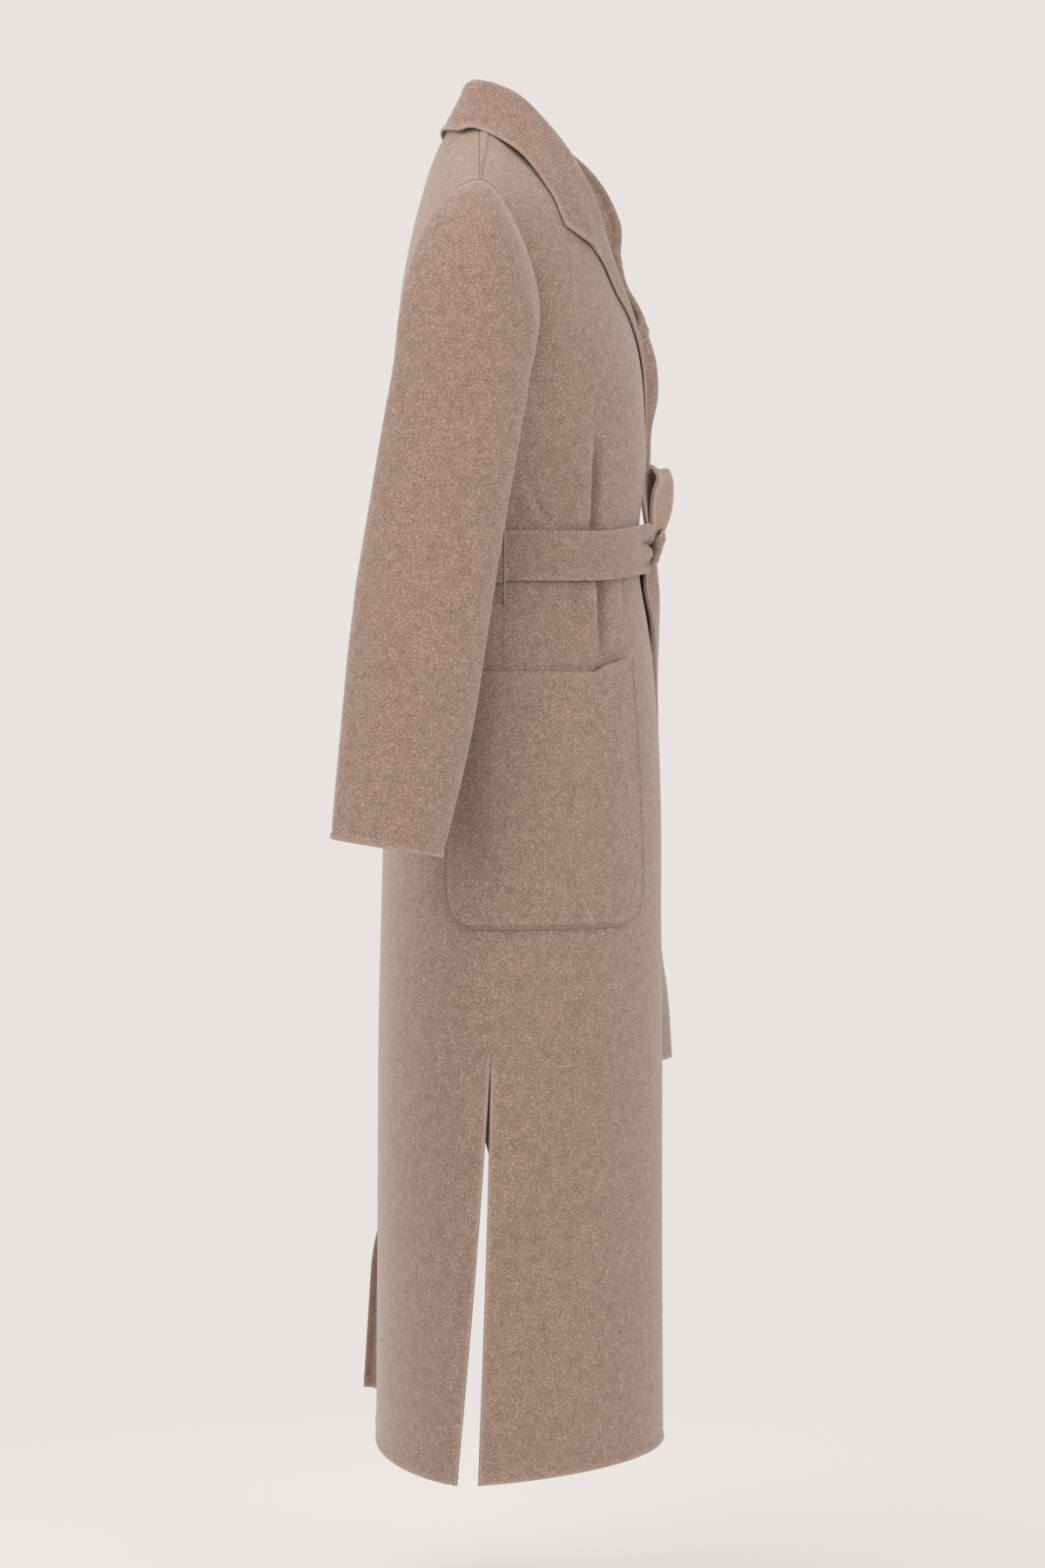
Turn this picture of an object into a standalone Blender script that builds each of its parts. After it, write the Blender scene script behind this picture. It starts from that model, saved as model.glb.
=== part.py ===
"""Belted coat of double-faced wool, standing open and empty as if worn.

Metres, +Z up. The front faces -Y and the wearer's left is +X. The origin lies
between the neck ends of the two shoulder seams. Panels are laid out on level
lines, from the shoulder seam (level 0) down to the hem.
"""

import bmesh
import bpy
import numpy as np

CLOTH = 0.0026  # one layer of the double-faced wool
BELT_CLOTH = 0.0040  # the belt, two layers sewn together
SEAM = 0.0003  # gap between pieces sewn edge to edge
LAID = 0.0008  # gap under a lapel that lies on its front
POCKET_LAID = 0.0018  # gap under a pocket

BACK_COLUMNS = 20
FRONT_COLUMNS = 18
SLEEVE_COLUMNS = 18
RIGHT, LEFT = -1, 1


def table(columns, rows):
    """Rows of numbers, as one array for each named column."""
    return dict(zip(columns.split(), np.array(rows, float).T))


# Armhole: an egg in side view, narrower to the front, that dips in towards the chest.
ARMHOLE_TOP_X, ARMHOLE_LOW_X, ARMHOLE_DIP = 0.200, 0.207, 0.0165
ARMHOLE_Y, ARMHOLE_Z, ARMHOLE_HALF_HEIGHT = 0.039, -0.147, 0.093
ARMHOLE_FRONT_DEPTH, ARMHOLE_FRONT_EGG = 0.0525, 0.38
ARMHOLE_BACK_DEPTH, ARMHOLE_BACK_EGG = 0.060, 0.20

# Level lines above the underarm. turn is the armhole angle at the panel's side
# edge; front_* and back_* are where the line meets the middle; inner_x is how far
# from the middle the front stops, at the neckline or the roll line; under is how
# deep the left front lies beneath the right, and puff how far it stands out beside it.
ARM_LEVELS = table(
    "turn front_y front_z front_round inner_x back_y back_z back_round under puff",
    [
        (0, 0.041, 0.060, 0.00, 0.0667, 0.041, 0.060, 0.00, 0.000, 0.000),
        (30, 0.004, 0.052, 0.35, 0.0700, 0.078, 0.014, 0.35, 0.000, 0.003),
        (60, -0.050, 0.022, 0.75, 0.0690, 0.099, -0.048, 0.60, 0.000, 0.019),
        (90, -0.071, -0.030, 0.95, 0.0620, 0.112, -0.108, 0.75, 0.000, 0.019),
        (120, -0.088, -0.095, 1.00, 0.0450, 0.119, -0.160, 0.85, 0.003, 0.012),
        (150, -0.1045, -0.155, 1.00, 0.0180, 0.121, -0.205, 0.95, 0.0177, 0.0222),
    ],
)
# Level lines from the underarm to the hem. The inner edge is past the middle where
# inner_x is negative; flat is 1 for an ellipse and more where the cloth hangs straighter.
SKIRT_LEVELS = table(
    "side_x side_z front_side_y back_side_y front_y front_z inner_x back_y flat under puff",
    [
        (0.207, -0.240, 0.026, 0.026, -0.1135, -0.200, -0.006, 0.1200, 1.0, 0.0170, 0.0218),
        (0.204, -0.275, 0.022, 0.022, -0.1170, -0.245, -0.028, 0.1170, 1.0, 0.0210, 0.0195),
        (0.196, -0.318, 0.019, 0.019, -0.1185, -0.295, -0.056, 0.1100, 1.0, 0.0215, 0.0200),
        (0.188, -0.371, 0.016, 0.016, -0.112, -0.350, -0.078, 0.1040, 1.0, 0.015, 0.000),
        (0.187, -0.417, 0.016, 0.016, -0.112, -0.398, -0.080, 0.1040, 1.0, 0.009, 0.000),
        (0.199, -0.455, 0.017, 0.017, -0.120, -0.448, -0.080, 0.1110, 1.0, 0.009, 0.000),
        (0.213, -0.500, 0.018, 0.018, -0.126, -0.497, -0.080, 0.1190, 1.0, 0.008, 0.000),
        (0.222, -0.565, 0.021, 0.021, -0.131, -0.565, -0.080, 0.1270, 1.0, 0.006, 0.000),
        (0.227, -0.645, 0.023, 0.023, -0.133, -0.645, -0.080, 0.1330, 1.0, 0.005, 0.000),
        (0.230, -0.730, 0.024, 0.024, -0.133, -0.730, -0.080, 0.1355, 1.0, 0.005, 0.000),
        (0.233, -0.841, 0.028, 0.028, -0.134, -0.841, -0.080, 0.1380, 1.0, 0.005, 0.000),
        (0.235, -1.030, 0.033, 0.041, -0.134, -1.030, -0.080, 0.1390, 1.3, 0.005, 0.000),
        (0.236, -1.226, 0.040, 0.058, -0.135, -1.226, -0.080, 0.1400, 1.5, 0.005, 0.000),
    ],
)
ARM_ROWS = len(ARM_LEVELS["turn"])
HEM = ARM_ROWS + len(SKIRT_LEVELS["side_x"]) - 1
BELT_TOP, BELT_LOW, POCKET_TOP, POCKET_LOW, SLIT_TOP = 9, 10, 12, 15, 16
ROWS = [0.02, 0.2, 0.5, 1, 2, 2.8, 3.35, 4, 5, 6, 7, 8, 8.6, *range(9, HEM + 1)]  # the levels that carry points
SIDE_GAP = 0.20  # degrees of each level line left out at a seam

# Soft folds of the fronts: angle from the side seam, level and depth of each.
FOLDS = table(
    "angle wide level reach depth",
    [
        (33, 6, 8.3, 0.9, 0.003),
        (40, 6, 8.3, 0.9, -0.004),
        (33, 6, 11.0, 0.8, 0.004),
        (40, 6, 11.0, 0.8, -0.004),
    ],
)

# The neckline at the back rises from the neck points to the middle.
NECK_BACK_Y, NECK_BACK_Z = 0.022, -0.026

# Below its slit the left side of the back swings open.
BACK_KICK, KICK_FROM = 0.095, 0.5
KICK_BY_LEVEL = {SLIT_TOP: 0.0, SLIT_TOP + 1: 1.0, HEM: 1.0}

# Lapel: its outer edge, as a share of the front's width, comes out from under the
# collar, bends at the peak and soon lies close to the fold.
LAPEL_ROWS = (3.35, 4, 5, 6, 7, 8, 8.6)
LAPEL_EDGE = table(
    "level u",
    [
        (3.2, 0.775),
        (3.64, 0.850),
        (4.22, 0.890),
        (4.62, 0.930),
        (5.1, 0.955),
        (8.6, 0.955),
    ],
)
ROLL = 0.0016  # radius of the lapel's fold, on the cloth's outer face

# Collar, from the middle of the back to the gorge: where its seam lies on the
# neckline, the roll at the top of the stand, the edge of the fall, how far the fall
# bulges between them and dips to the notch, and how far the left half stands ahead.
COLLAR = table(
    "on_front seam_at roll_x roll_y roll_z edge_x edge_y edge_z bulge notch left",
    [
        (0, 90, 0.000, 0.0500, 0.0660, 0.000, 0.0775, 0.0230, -0.0005, 0.000, 0.000),
        (0, 77, 0.030, 0.0478, 0.0648, 0.038, 0.0737, 0.0213, -0.0005, 0.000, 0.000),
        (0, 66, 0.053, 0.0385, 0.0605, 0.068, 0.0600, 0.0165, -0.0010, 0.000, 0.000),
        (1, 0.02, 0.064, 0.0230, 0.0540, 0.088, 0.0420, 0.0147, -0.0010, 0.000, 0.000),
        (1, 1.0, 0.071, 0.0000, 0.0395, 0.111, 0.0032, -0.0136, 0.0000, 0.000, 0.012),
        (1, 2.0, 0.076, -0.0360, -0.0020, 0.133, -0.0250, -0.0538, 0.0020, 0.000, 0.029),
        (1, 2.55, 0.073, -0.0625, -0.0475, 0.1433, -0.0353, -0.0778, 0.0050, 0.004, 0.028),
        (1, 2.85, 0.0540, -0.0774, -0.0794, 0.1465, -0.0390, -0.0872, 0.0128, 0.022, 0.019),
    ],
)
COLLAR_ROLL = 0.0035  # radius of its fold
COLLAR_LEFT_EDGE = 0.3  # how much of that the left half's edge shares

# Sleeve rings below the armhole: outer and inner points in front view, the middle
# and the depths before and behind it in side view, and how egg-shaped the front is.
SLEEVE = table(
    "out_x out_z in_x in_z mid_y front_depth back_depth egg drop",
    [
        (0.222, -0.068, 0.2095, -0.2405, 0.0415, 0.0528, 0.0610, 0.33, 0),
        (0.245, -0.095, 0.2105, -0.2445, 0.0440, 0.0555, 0.0630, 0.25, 0),
        (0.263, -0.133, 0.2105, -0.2500, 0.0465, 0.0590, 0.0645, 0.16, 0),
        (0.278, -0.195, 0.2100, -0.2620, 0.0505, 0.0580, 0.0645, 0.08, 0),
        (0.288, -0.270, 0.2110, -0.2950, 0.0610, 0.0605, 0.0635, 0.00, 0),
        (0.300, -0.370, 0.2150, -0.3750, 0.0770, 0.0610, 0.0620, 0.00, 0),
        (0.312, -0.460, 0.2230, -0.4600, 0.0905, 0.0610, 0.0610, 0.00, 0),
        (0.322, -0.560, 0.2370, -0.5580, 0.1030, 0.0575, 0.0575, 0.00, 0.002),
        (0.330, -0.656, 0.2530, -0.6565, 0.1190, 0.0490, 0.0490, 0.00, 0.008),
    ],
)
SLEEVE_GAP = 0.0012  # the armhole seam, measured outwards

# Patch pocket: angles behind and before the side seam, and its round corners.
POCKET_BACK, POCKET_FRONT = 24, 54
POCKET_LEAN, POCKET_KINK, POCKET_RISE = 5, 0.0060, 0.0095  # the front edge leans; the mouth rises to it
POCKET_WIDTH, POCKET_HEIGHT, POCKET_CORNER = 0.210, 0.230, 0.030

# Belt ends and bow: the path of each band, with the direction across it.
BELT_WIDTH = 0.046
BELT_EASE = 0.0022  # between the belt and the coat
KNOT_CENTRE, KNOT_SIZE = (0.010, -0.1285, -0.374), (0.034, 0.017, 0.040)
BAND = "x y z across_x across_y"
BOW = table(
    BAND,
    [
        (0.006, -0.1285, -0.3535, 0.9, -0.30),
        (0.005, -0.1345, -0.3300, 0.9, -0.30),
        (0.003, -0.1360, -0.3080, 0.9, -0.30),
        (0.002, -0.1325, -0.2975, 0.9, -0.30),
        (0.002, -0.1280, -0.3080, 0.9, -0.30),
        (0.003, -0.1262, -0.3250, 0.9, -0.30),
        (0.004, -0.1245, -0.3460, 0.9, -0.30),
    ],
)
LONG_END = table(
    BAND,
    [
        (0.014, -0.1270, -0.3948, 0.8, -0.20),
        (0.020, -0.1255, -0.4400, 0.9, -0.12),
        (0.041, -0.1293, -0.5000, 1.0, -0.02),
        (0.063, -0.1280, -0.5650, 1.0, 0.16),
        (0.071, -0.1287, -0.6450, 1.0, 0.16),
        (0.073, -0.1310, -0.7300, 1.0, 0.08),
        (0.073, -0.1380, -0.8000, 1.0, -0.15),
        (0.073, -0.1397, -0.8700, 1.0, -0.32),
    ],
)
SHORT_END = table(
    BAND,
    [
        (0.046, -0.1170, -0.3850, 0.9, 0.16),
        (0.070, -0.1190, -0.4400, 0.9, 0.24),
        (0.103, -0.1185, -0.5200, 1.0, 0.36),
        (0.120, -0.1195, -0.6200, 1.0, 0.42),
        (0.128, -0.1175, -0.7300, 1.0, 0.46),
    ],
)
BAND_COLUMNS = 4

# Thread carriers: a loop at each side seam, over the belt.
CARRIER_RADIUS = 0.0008
CARRIER_ABOVE, CARRIER_BELOW = 0.006, 0.016


def mix(first, last, share):
    return first + (last - first) * share


def ease(share):
    share = np.clip(share, 0, 1)
    return share * share * (3 - 2 * share)


def armhole(turn):
    """Point of the armhole: turn is 0 at the shoulder, 180 underarm, + to the front."""
    c, s = np.cos(np.radians(turn)), np.sin(np.radians(turn))
    x = mix(ARMHOLE_TOP_X, ARMHOLE_LOW_X, (1 - c) / 2) - ARMHOLE_DIP * s * s
    front, back = ARMHOLE_FRONT_DEPTH * (1 - ARMHOLE_FRONT_EGG * c), ARMHOLE_BACK_DEPTH * (1 - ARMHOLE_BACK_EGG * c)
    y = ARMHOLE_Y - s * np.where(s > 0, front, back)
    return x, y, ARMHOLE_Z + ARMHOLE_HALF_HEIGHT * c


def across(angle, roundness):
    """Share of the way from the side to the middle, straight or as an ellipse."""
    return mix(angle / 90, 1 - np.cos(np.radians(angle)), roundness)


def smooth(values, place):
    """Cubic through the values at whole places."""
    slope = np.gradient(values, axis=0)
    low = int(min(np.floor(place), len(values) - 2))
    t = place - low
    ends = values[low] * (1 + 2 * t) * (1 - t) ** 2 + values[low + 1] * t * t * (3 - 2 * t)
    return ends + slope[low] * t * (1 - t) ** 2 - slope[low + 1] * t * t * (1 - t)


def column(front, back, level):
    """A value at this level; levels count down the front, and minus down the back."""
    return smooth(np.concatenate([back[:0:-1], front]), level + HEM)


def both(name):
    """A column of both tables, arm levels first."""
    return np.concatenate([ARM_LEVELS[name], SKIRT_LEVELS[name]])


def level_line(level, angle):
    """Points of a whole level line at these angles, 0 at the side and 90 at the middle."""
    face = "front" if level > 0 else "back"
    whole = np.full(len(SKIRT_LEVELS["flat"]), 1.0)
    rounds = {f: np.concatenate([ARM_LEVELS[f + "_round"], whole]) for f in ("front", "back")}
    heights = {
        "front": both("front_z"),
        "back": np.concatenate([ARM_LEVELS["back_z"], SKIRT_LEVELS["side_z"]]),
    }
    mid_y = column(both("front_y"), both("back_y"), level)
    mid_z = column(heights["front"], heights["back"], level)
    roundness = np.clip(column(rounds["front"], rounds["back"], level), 0, 1)
    below = abs(level) - ARM_ROWS
    if below < 0:
        side_x, side_y, side_z = armhole(30 * level)
        flat = 1.0
    else:
        side_x, side_z = smooth(SKIRT_LEVELS["side_x"], below), smooth(SKIRT_LEVELS["side_z"], below)
        side_y = smooth(SKIRT_LEVELS[face + "_side_y"], below)
        flat = smooth(SKIRT_LEVELS["flat"], below)
    share = across(angle, roundness)
    inward = 1 - np.abs(1 - angle / 90)
    x = side_x * (1 - share)
    bow = np.clip(np.sin(np.radians(angle)), 0, 1) ** flat
    y = mix(side_y, mid_y, mix(inward, bow, roundness))
    z = mix(side_z, mid_z, 1 - np.abs(1 - share))
    if face == "front":
        for centre, wide, at, reach, depth in zip(*FOLDS.values()):
            near = ((angle - centre) / wide) ** 2 + ((level - at) / reach) ** 2
            y = y - depth * np.exp(-near) * (level not in (BELT_TOP, BELT_LOW))
    else:
        neck = np.clip(np.abs(3 * x / side_x), 0, 1)
        y = y + NECK_BACK_Y * np.sqrt(1 - neck**2) * max(0, 1 + level)
        z = z + NECK_BACK_Z * (1 - neck) ** 2 * max(0, 1 + level)
    return np.stack([x, y, z], axis=-1)


def front_row(level, u, side):
    """One level line of a front: u is 0 at the side edge and 1 at the inner edge."""
    place = np.linspace(0, 180, 721)
    inner_x = smooth(both("inner_x"), level)
    inner = np.interp(-inner_x, -level_line(level, place)[:, 0], place)
    points = level_line(level, mix(SIDE_GAP, inner, np.asarray(u, float)))
    if side == LEFT:
        x = points[..., 0]
        points[..., 1] += smooth(both("under"), level) * ease((0.045 - inner_x - x) / 0.035)
        beside = np.exp(-(((x - np.maximum(0.055, 0.030 - inner_x)) / 0.04) ** 2))
        points[..., 1] -= smooth(both("puff"), level) * beside
    points[..., 0] *= side
    return points


def front_at(u, level, side):
    """Points of a front on its facets, between the levels that carry points."""
    found = []
    for one_u, one_level in zip(u, level):
        below = next(row for row in ROWS if row >= one_level)
        above = max(row for row in ROWS if row <= one_level)
        share = (one_level - above) / max(below - above, 1e-9)
        found.append(mix(front_row(above, one_u, side), front_row(below, one_u, side), share))
    return np.array(found)


def skin(level, angle, side):
    """The body's outer face round one side seam: angle + to the front, - to the back."""
    angle = np.asarray(angle, float)
    front, back = level_line(level, np.abs(angle)), level_line(-level, np.abs(angle))
    points = np.where((angle >= 0)[..., None], front, back)
    points[..., 0] *= side
    return points


def outward(grid):
    """Unit normals of a grid of points: columns turned into rows."""
    normal = np.cross(np.gradient(grid, axis=1), np.gradient(grid, axis=0))
    return normal / np.linalg.norm(normal, axis=-1, keepdims=True)


def sheet(name, patches, thickness, offset=-1.0, flip=False, material="wool"):
    """A piece of cloth: grids joined where they meet, thickened against their normals."""
    mesh = bpy.data.meshes.new(name)
    shape = bmesh.new()
    for points in patches:
        rows, columns = points.shape[:2]
        made = bmesh.ops.create_grid(shape, x_segments=columns - 1, y_segments=rows - 1, size=1)
        for vert, place in zip(made["verts"], points.reshape(-1, 3)):
            vert.co = place
    bmesh.ops.remove_doubles(shape, verts=shape.verts, dist=1e-5)
    if flip:
        bmesh.ops.reverse_faces(shape, faces=shape.faces)
    shape.to_mesh(mesh)
    shape.free()
    piece = bpy.data.objects.new(name, mesh)
    coat.objects.link(piece)
    mesh.materials.append(materials[material])
    wall = piece.modifiers.new("cloth", "SOLIDIFY")
    wall.thickness, wall.offset, wall.use_even_offset = thickness, offset, True
    return piece


def make_back():
    angle = np.linspace(0, 180, BACK_COLUMNS + 1)
    angle[[0, -1]] = SIDE_GAP, 180 - SIDE_GAP
    rows = []
    for row in ROWS:
        points = level_line(-row, angle)
        points[:, 0] *= -1
        swing = KICK_BY_LEVEL.get(row, 0.0) * ease((angle / 180 - KICK_FROM) / (1 - KICK_FROM))
        points[:, 1] += BACK_KICK * swing
        points[:, 0] -= 0.2 * BACK_KICK * swing
        rows.append(points)
    sheet("back", [np.array(rows)], CLOTH)


def lapel_patch(side):
    """The lapel: out over the fold, then back along the front to its outer edge."""
    rows = []
    for row in LAPEL_ROWS:
        fold = front_at(np.array([0.97, 1.0]), np.array([row, row], float), side)
        below = front_at(np.array([1.0]), np.array([row + 0.1]), side)[0]
        ahead = (fold[1] - fold[0]) / np.linalg.norm(fold[1] - fold[0])
        out = np.cross(ahead, below - fold[1]) * (1 if side == LEFT else -1)
        out /= np.linalg.norm(out)
        turn = np.radians(np.linspace(0, 180, 5))[:, None]
        rolled = fold[1] + ROLL * (np.sin(turn) * ahead + (1 - np.cos(turn)) * out)
        share = np.linspace(0, 1, 7)[1:]
        u = mix(1.0, np.interp(row, *LAPEL_EDGE.values()), share)
        at = np.full(len(share), float(row))
        laid = front_at(u, at, side)
        laid += out * mix(2 * ROLL, LAID, ease(share))[:, None]
        rows.append(np.concatenate([rolled, laid]))
    return np.array(rows)


def make_front(name, side):
    u = np.linspace(0, 1, FRONT_COLUMNS + 1)
    panel = np.array([front_row(row, u, side) for row in ROWS])
    sheet(name, [panel, lapel_patch(side)], CLOTH, flip=side == RIGHT)


def make_sleeve(name, side):
    turn = np.linspace(-180, 180, SLEEVE_COLUMNS + 1)
    x, y, z = armhole(turn)
    rings = [np.stack([x + SLEEVE_GAP, y, z], axis=-1)]
    c, s = np.cos(np.radians(turn)), np.sin(np.radians(turn))
    for out_x, out_z, in_x, in_z, mid_y, front_depth, back_depth, egg, drop in zip(*SLEEVE.values()):
        x = mix(in_x, out_x, (1 + c) / 2)
        y = mid_y - s * np.where(s > 0, front_depth * (1 - egg * c), back_depth)
        z = mix(in_z, out_z, (1 + c) / 2) - drop * s
        rings.append(np.stack([x, y, z], axis=-1))
    rings = np.array(rings) * (side, 1, 1)
    sheet(name, [rings], CLOTH, flip=side == RIGHT)


def collar_half(side):
    """Stations from the back to the gorge, with a profile up the stand, over the roll and down the fall."""
    seam = [
        front_row(at, 1.0, side) * (side, 1, 1) if on_front else level_line(-ROWS[0], at)
        for on_front, at in zip(COLLAR["on_front"], COLLAR["seam_at"])
    ]
    roll, edge = (
        np.stack([COLLAR[part + axis] for axis in ("_x", "_y", "_z")], axis=-1)
        for part in ("roll", "edge")
    )
    if side == LEFT:
        ahead = COLLAR["left"][:, None] * (0, 1, 0)
        roll, edge = roll - ahead, edge - COLLAR_LEFT_EDGE * ahead
    seam = np.array(seam)
    along = np.gradient(roll, axis=0)
    out = np.cross(roll - mix(seam, edge, 0.5), along)
    out /= np.linalg.norm(out, axis=-1, keepdims=True)
    up = np.cross(along, out)
    up /= np.linalg.norm(up, axis=-1, keepdims=True)
    seam = seam - CLOTH / 2 * out + 1.1 * CLOTH * up
    inner, outer = roll - COLLAR_ROLL * out, roll + COLLAR_ROLL * out
    profile = [seam, mix(seam, inner, 0.5), inner, roll + 0.8 * COLLAR_ROLL * up, outer]
    for share in (0.25, 0.5, 0.75, 1.0):
        bulge = COLLAR["bulge"][:, None] * np.sin(np.pi * share) * out
        dip = COLLAR["notch"][:, None] * np.sin(np.pi * share) * (1.6 - 1.5 * share) * (0, 0, 1)
        profile.append(mix(outer, edge, share) + bulge - dip)
    stations = np.array(profile).swapaxes(0, 1)
    stations = np.concatenate([stations[1:2] * (-1, 1, 1), stations])
    place = np.linspace(1, len(roll), 2 * len(roll) - 1)
    return np.array([smooth(stations, at) for at in place]) * (side, 1, 1)


def make_collar():
    """A folded strip: the right half from its gorge to the back, then the left half."""
    whole = np.concatenate([collar_half(RIGHT)[:0:-1], collar_half(LEFT)]).swapaxes(0, 1)
    sheet("collar", [whole], CLOTH, offset=0.0)


def make_pocket(name, side):
    """A patch made from the panels' own points, moved out."""
    levels = [POCKET_TOP, POCKET_TOP + 1, POCKET_TOP + 2, *(POCKET_LOW - np.array([0.36, 0.12, 0.0]))]
    middle, half = (POCKET_FRONT - POCKET_BACK) / 2, (POCKET_FRONT + POCKET_BACK) / 2
    share = np.linspace(-1, 1, 13)
    rows = []
    for level in levels:
        height = (POCKET_LOW - level) * POCKET_HEIGHT / (POCKET_LOW - POCKET_TOP)
        cut = np.clip(1 - height / POCKET_CORNER, 0, 1)
        narrow = POCKET_CORNER * (1 - np.sqrt(1 - cut**2)) / (POCKET_WIDTH / 2)
        down = (level - POCKET_TOP) / (POCKET_LOW - POCKET_TOP)
        angle = middle + half * share * (1 - narrow) + POCKET_LEAN * down * (1 + share) / 2
        low = int(min(np.floor(level), HEM - 1))
        points = mix(skin(low, angle, side), skin(low + 1, angle, side), level - low)
        rise = POCKET_KINK * ease((share - 0.44) / 0.16) + POCKET_RISE * ease((share - 0.5) / 0.5)
        points[:, 2] += rise * (1 - down) ** 3
        rows.append(points)
    grid = np.array(rows)
    normal = outward(grid) * side
    sheet(name, [grid + normal * POCKET_LAID], CLOTH, offset=1.0, flip=side == RIGHT)


def make_belt():
    front = np.linspace(0, 115, FRONT_COLUMNS + 1)
    right_front = [skin(row, front, RIGHT) for row in (BELT_TOP, BELT_LOW)]
    left_front = [skin(row, np.linspace(58, 4, 10), LEFT) for row in (BELT_TOP, BELT_LOW)]
    left_back = [skin(row, np.linspace(0, -90, 16), LEFT) for row in (BELT_TOP, BELT_LOW)]
    right_back = [skin(row, np.linspace(-84, 0, 15), RIGHT) for row in (BELT_TOP, BELT_LOW)]
    top, low = (np.concatenate(ring) for ring in zip(right_front, left_front, left_back, right_back))
    grid = np.array([mix(top, low, share) for share in (0.01, 0.99)])
    out = grid - grid.mean(axis=1, keepdims=True)
    out[..., 2] = 0
    out /= np.linalg.norm(out, axis=-1, keepdims=True)
    sheet("belt", [grid + out * BELT_EASE], BELT_CLOTH, offset=1.0, flip=True)


def make_band(name, path):
    middle = np.stack([path["x"], path["y"], path["z"]], axis=-1)
    side = np.stack([path["across_x"], path["across_y"], np.zeros(len(middle))], axis=-1)
    side /= np.linalg.norm(side, axis=-1, keepdims=True)
    share = np.linspace(-0.5, 0.5, BAND_COLUMNS + 1)[None, :, None]
    width = BELT_WIDTH * np.linspace(0.75, 1, 3)[np.minimum(np.arange(len(middle)), 2)]
    grid = middle[:, None, :] + share * (side * width[:, None])[:, None, :]
    sheet(name, [grid], BELT_CLOTH, offset=0.0)


def make_knot():
    shape = bmesh.new()
    bmesh.ops.create_uvsphere(shape, u_segments=14, v_segments=9, radius=0.5)
    for vert in shape.verts:
        rounded = np.sign(vert.co) * np.abs(2 * np.array(vert.co)) ** 0.7 / 2
        vert.co = np.array(KNOT_CENTRE) + rounded * KNOT_SIZE
    mesh = bpy.data.meshes.new("belt_knot")
    shape.to_mesh(mesh)
    shape.free()
    mesh.materials.append(materials["wool"])
    coat.objects.link(bpy.data.objects.new("belt_knot", mesh))


def make_carrier(name, side):
    """A thread bracket at the side seam, clear of the belt that runs behind it."""
    top, low = (skin(row, np.array(0.0), side) for row in (BELT_TOP, BELT_LOW))
    over = (BELT_EASE + BELT_CLOTH + CARRIER_RADIUS + 2 * SEAM) * side
    near = (LAID + CARRIER_RADIUS) * side
    above, below = np.array([0, 0, CARRIER_ABOVE]), np.array([0, 0, -CARRIER_BELOW])
    flare = np.array([0.005 * side, 0, 0])
    path = [top + above + (near + 0.001 * side, 0, 0), top + above / 2 + (over, 0, 0), top + (over, 0, 0)]
    path += [low + (over, 0, 0), low + below / 2 + (over, 0, 0) + flare / 3, low + below + (near, 0, 0) + flare]
    curve = bpy.data.curves.new(name, "CURVE")
    curve.dimensions = "3D"
    curve.bevel_depth, curve.bevel_resolution = CARRIER_RADIUS, 1
    curve.use_fill_caps = True
    spline = curve.splines.new("POLY")
    spline.points.add(len(path) - 1)
    for point, place in zip(spline.points, path):
        point.co = (*place, 1.0)
    curve.materials.append(materials["thread"])
    coat.objects.link(bpy.data.objects.new(name, curve))


def make_material(name, colour):
    material = bpy.data.materials.new(name)
    material.use_nodes = True
    shader = material.node_tree.nodes["Principled BSDF"]
    shader.inputs["Base Color"].default_value = (*colour, 1.0)
    shader.inputs["Roughness"].default_value = 0.9
    return material


for old in list(bpy.data.objects):
    bpy.data.objects.remove(old)
coat = bpy.data.collections.new("belted_coat")
bpy.context.scene.collection.children.link(coat)
materials = {
    "wool": make_material("wool", (0.36, 0.27, 0.21)),
    "thread": make_material("thread", (0.42, 0.33, 0.26)),
}
make_back()
make_front("front_right", RIGHT)
make_front("front_left", LEFT)
make_sleeve("sleeve_right", RIGHT)
make_sleeve("sleeve_left", LEFT)
make_collar()
make_pocket("pocket_right", RIGHT)
make_pocket("pocket_left", LEFT)
make_belt()
make_knot()
make_band("belt_bow", BOW)
make_band("belt_end_long", LONG_END)
make_band("belt_end_short", SHORT_END)
make_carrier("carrier_right", RIGHT)
make_carrier("carrier_left", LEFT)
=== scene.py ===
"""Belted coat of double-faced wool, open and empty in the shape it has when worn.

Metres, +Z up. The front faces -Y and the wearer's left is +X. The origin lies
between the neck ends of the two shoulder seams.
"""

import bpy
import numpy as np
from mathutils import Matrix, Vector


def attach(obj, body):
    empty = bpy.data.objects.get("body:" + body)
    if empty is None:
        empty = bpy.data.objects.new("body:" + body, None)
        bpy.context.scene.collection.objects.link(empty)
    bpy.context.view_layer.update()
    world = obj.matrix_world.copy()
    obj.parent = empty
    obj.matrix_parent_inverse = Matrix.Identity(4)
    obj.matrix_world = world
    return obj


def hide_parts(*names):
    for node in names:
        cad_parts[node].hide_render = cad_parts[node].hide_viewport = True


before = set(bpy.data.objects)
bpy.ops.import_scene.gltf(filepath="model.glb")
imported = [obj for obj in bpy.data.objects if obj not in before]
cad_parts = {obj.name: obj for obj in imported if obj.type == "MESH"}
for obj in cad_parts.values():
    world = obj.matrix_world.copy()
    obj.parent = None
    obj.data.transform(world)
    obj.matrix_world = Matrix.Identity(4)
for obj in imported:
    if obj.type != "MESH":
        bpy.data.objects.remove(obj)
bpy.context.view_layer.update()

# Wool cloth. The whole coat is cut from one double-faced wool, brushed and pressed: brown yarn
# with paler and darker fibres, broken into short streaks along the weft, under a soft pale nap.
# It has no lining, and its edges are turned in and felled by hand.
CLOTH = 0.0026
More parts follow.
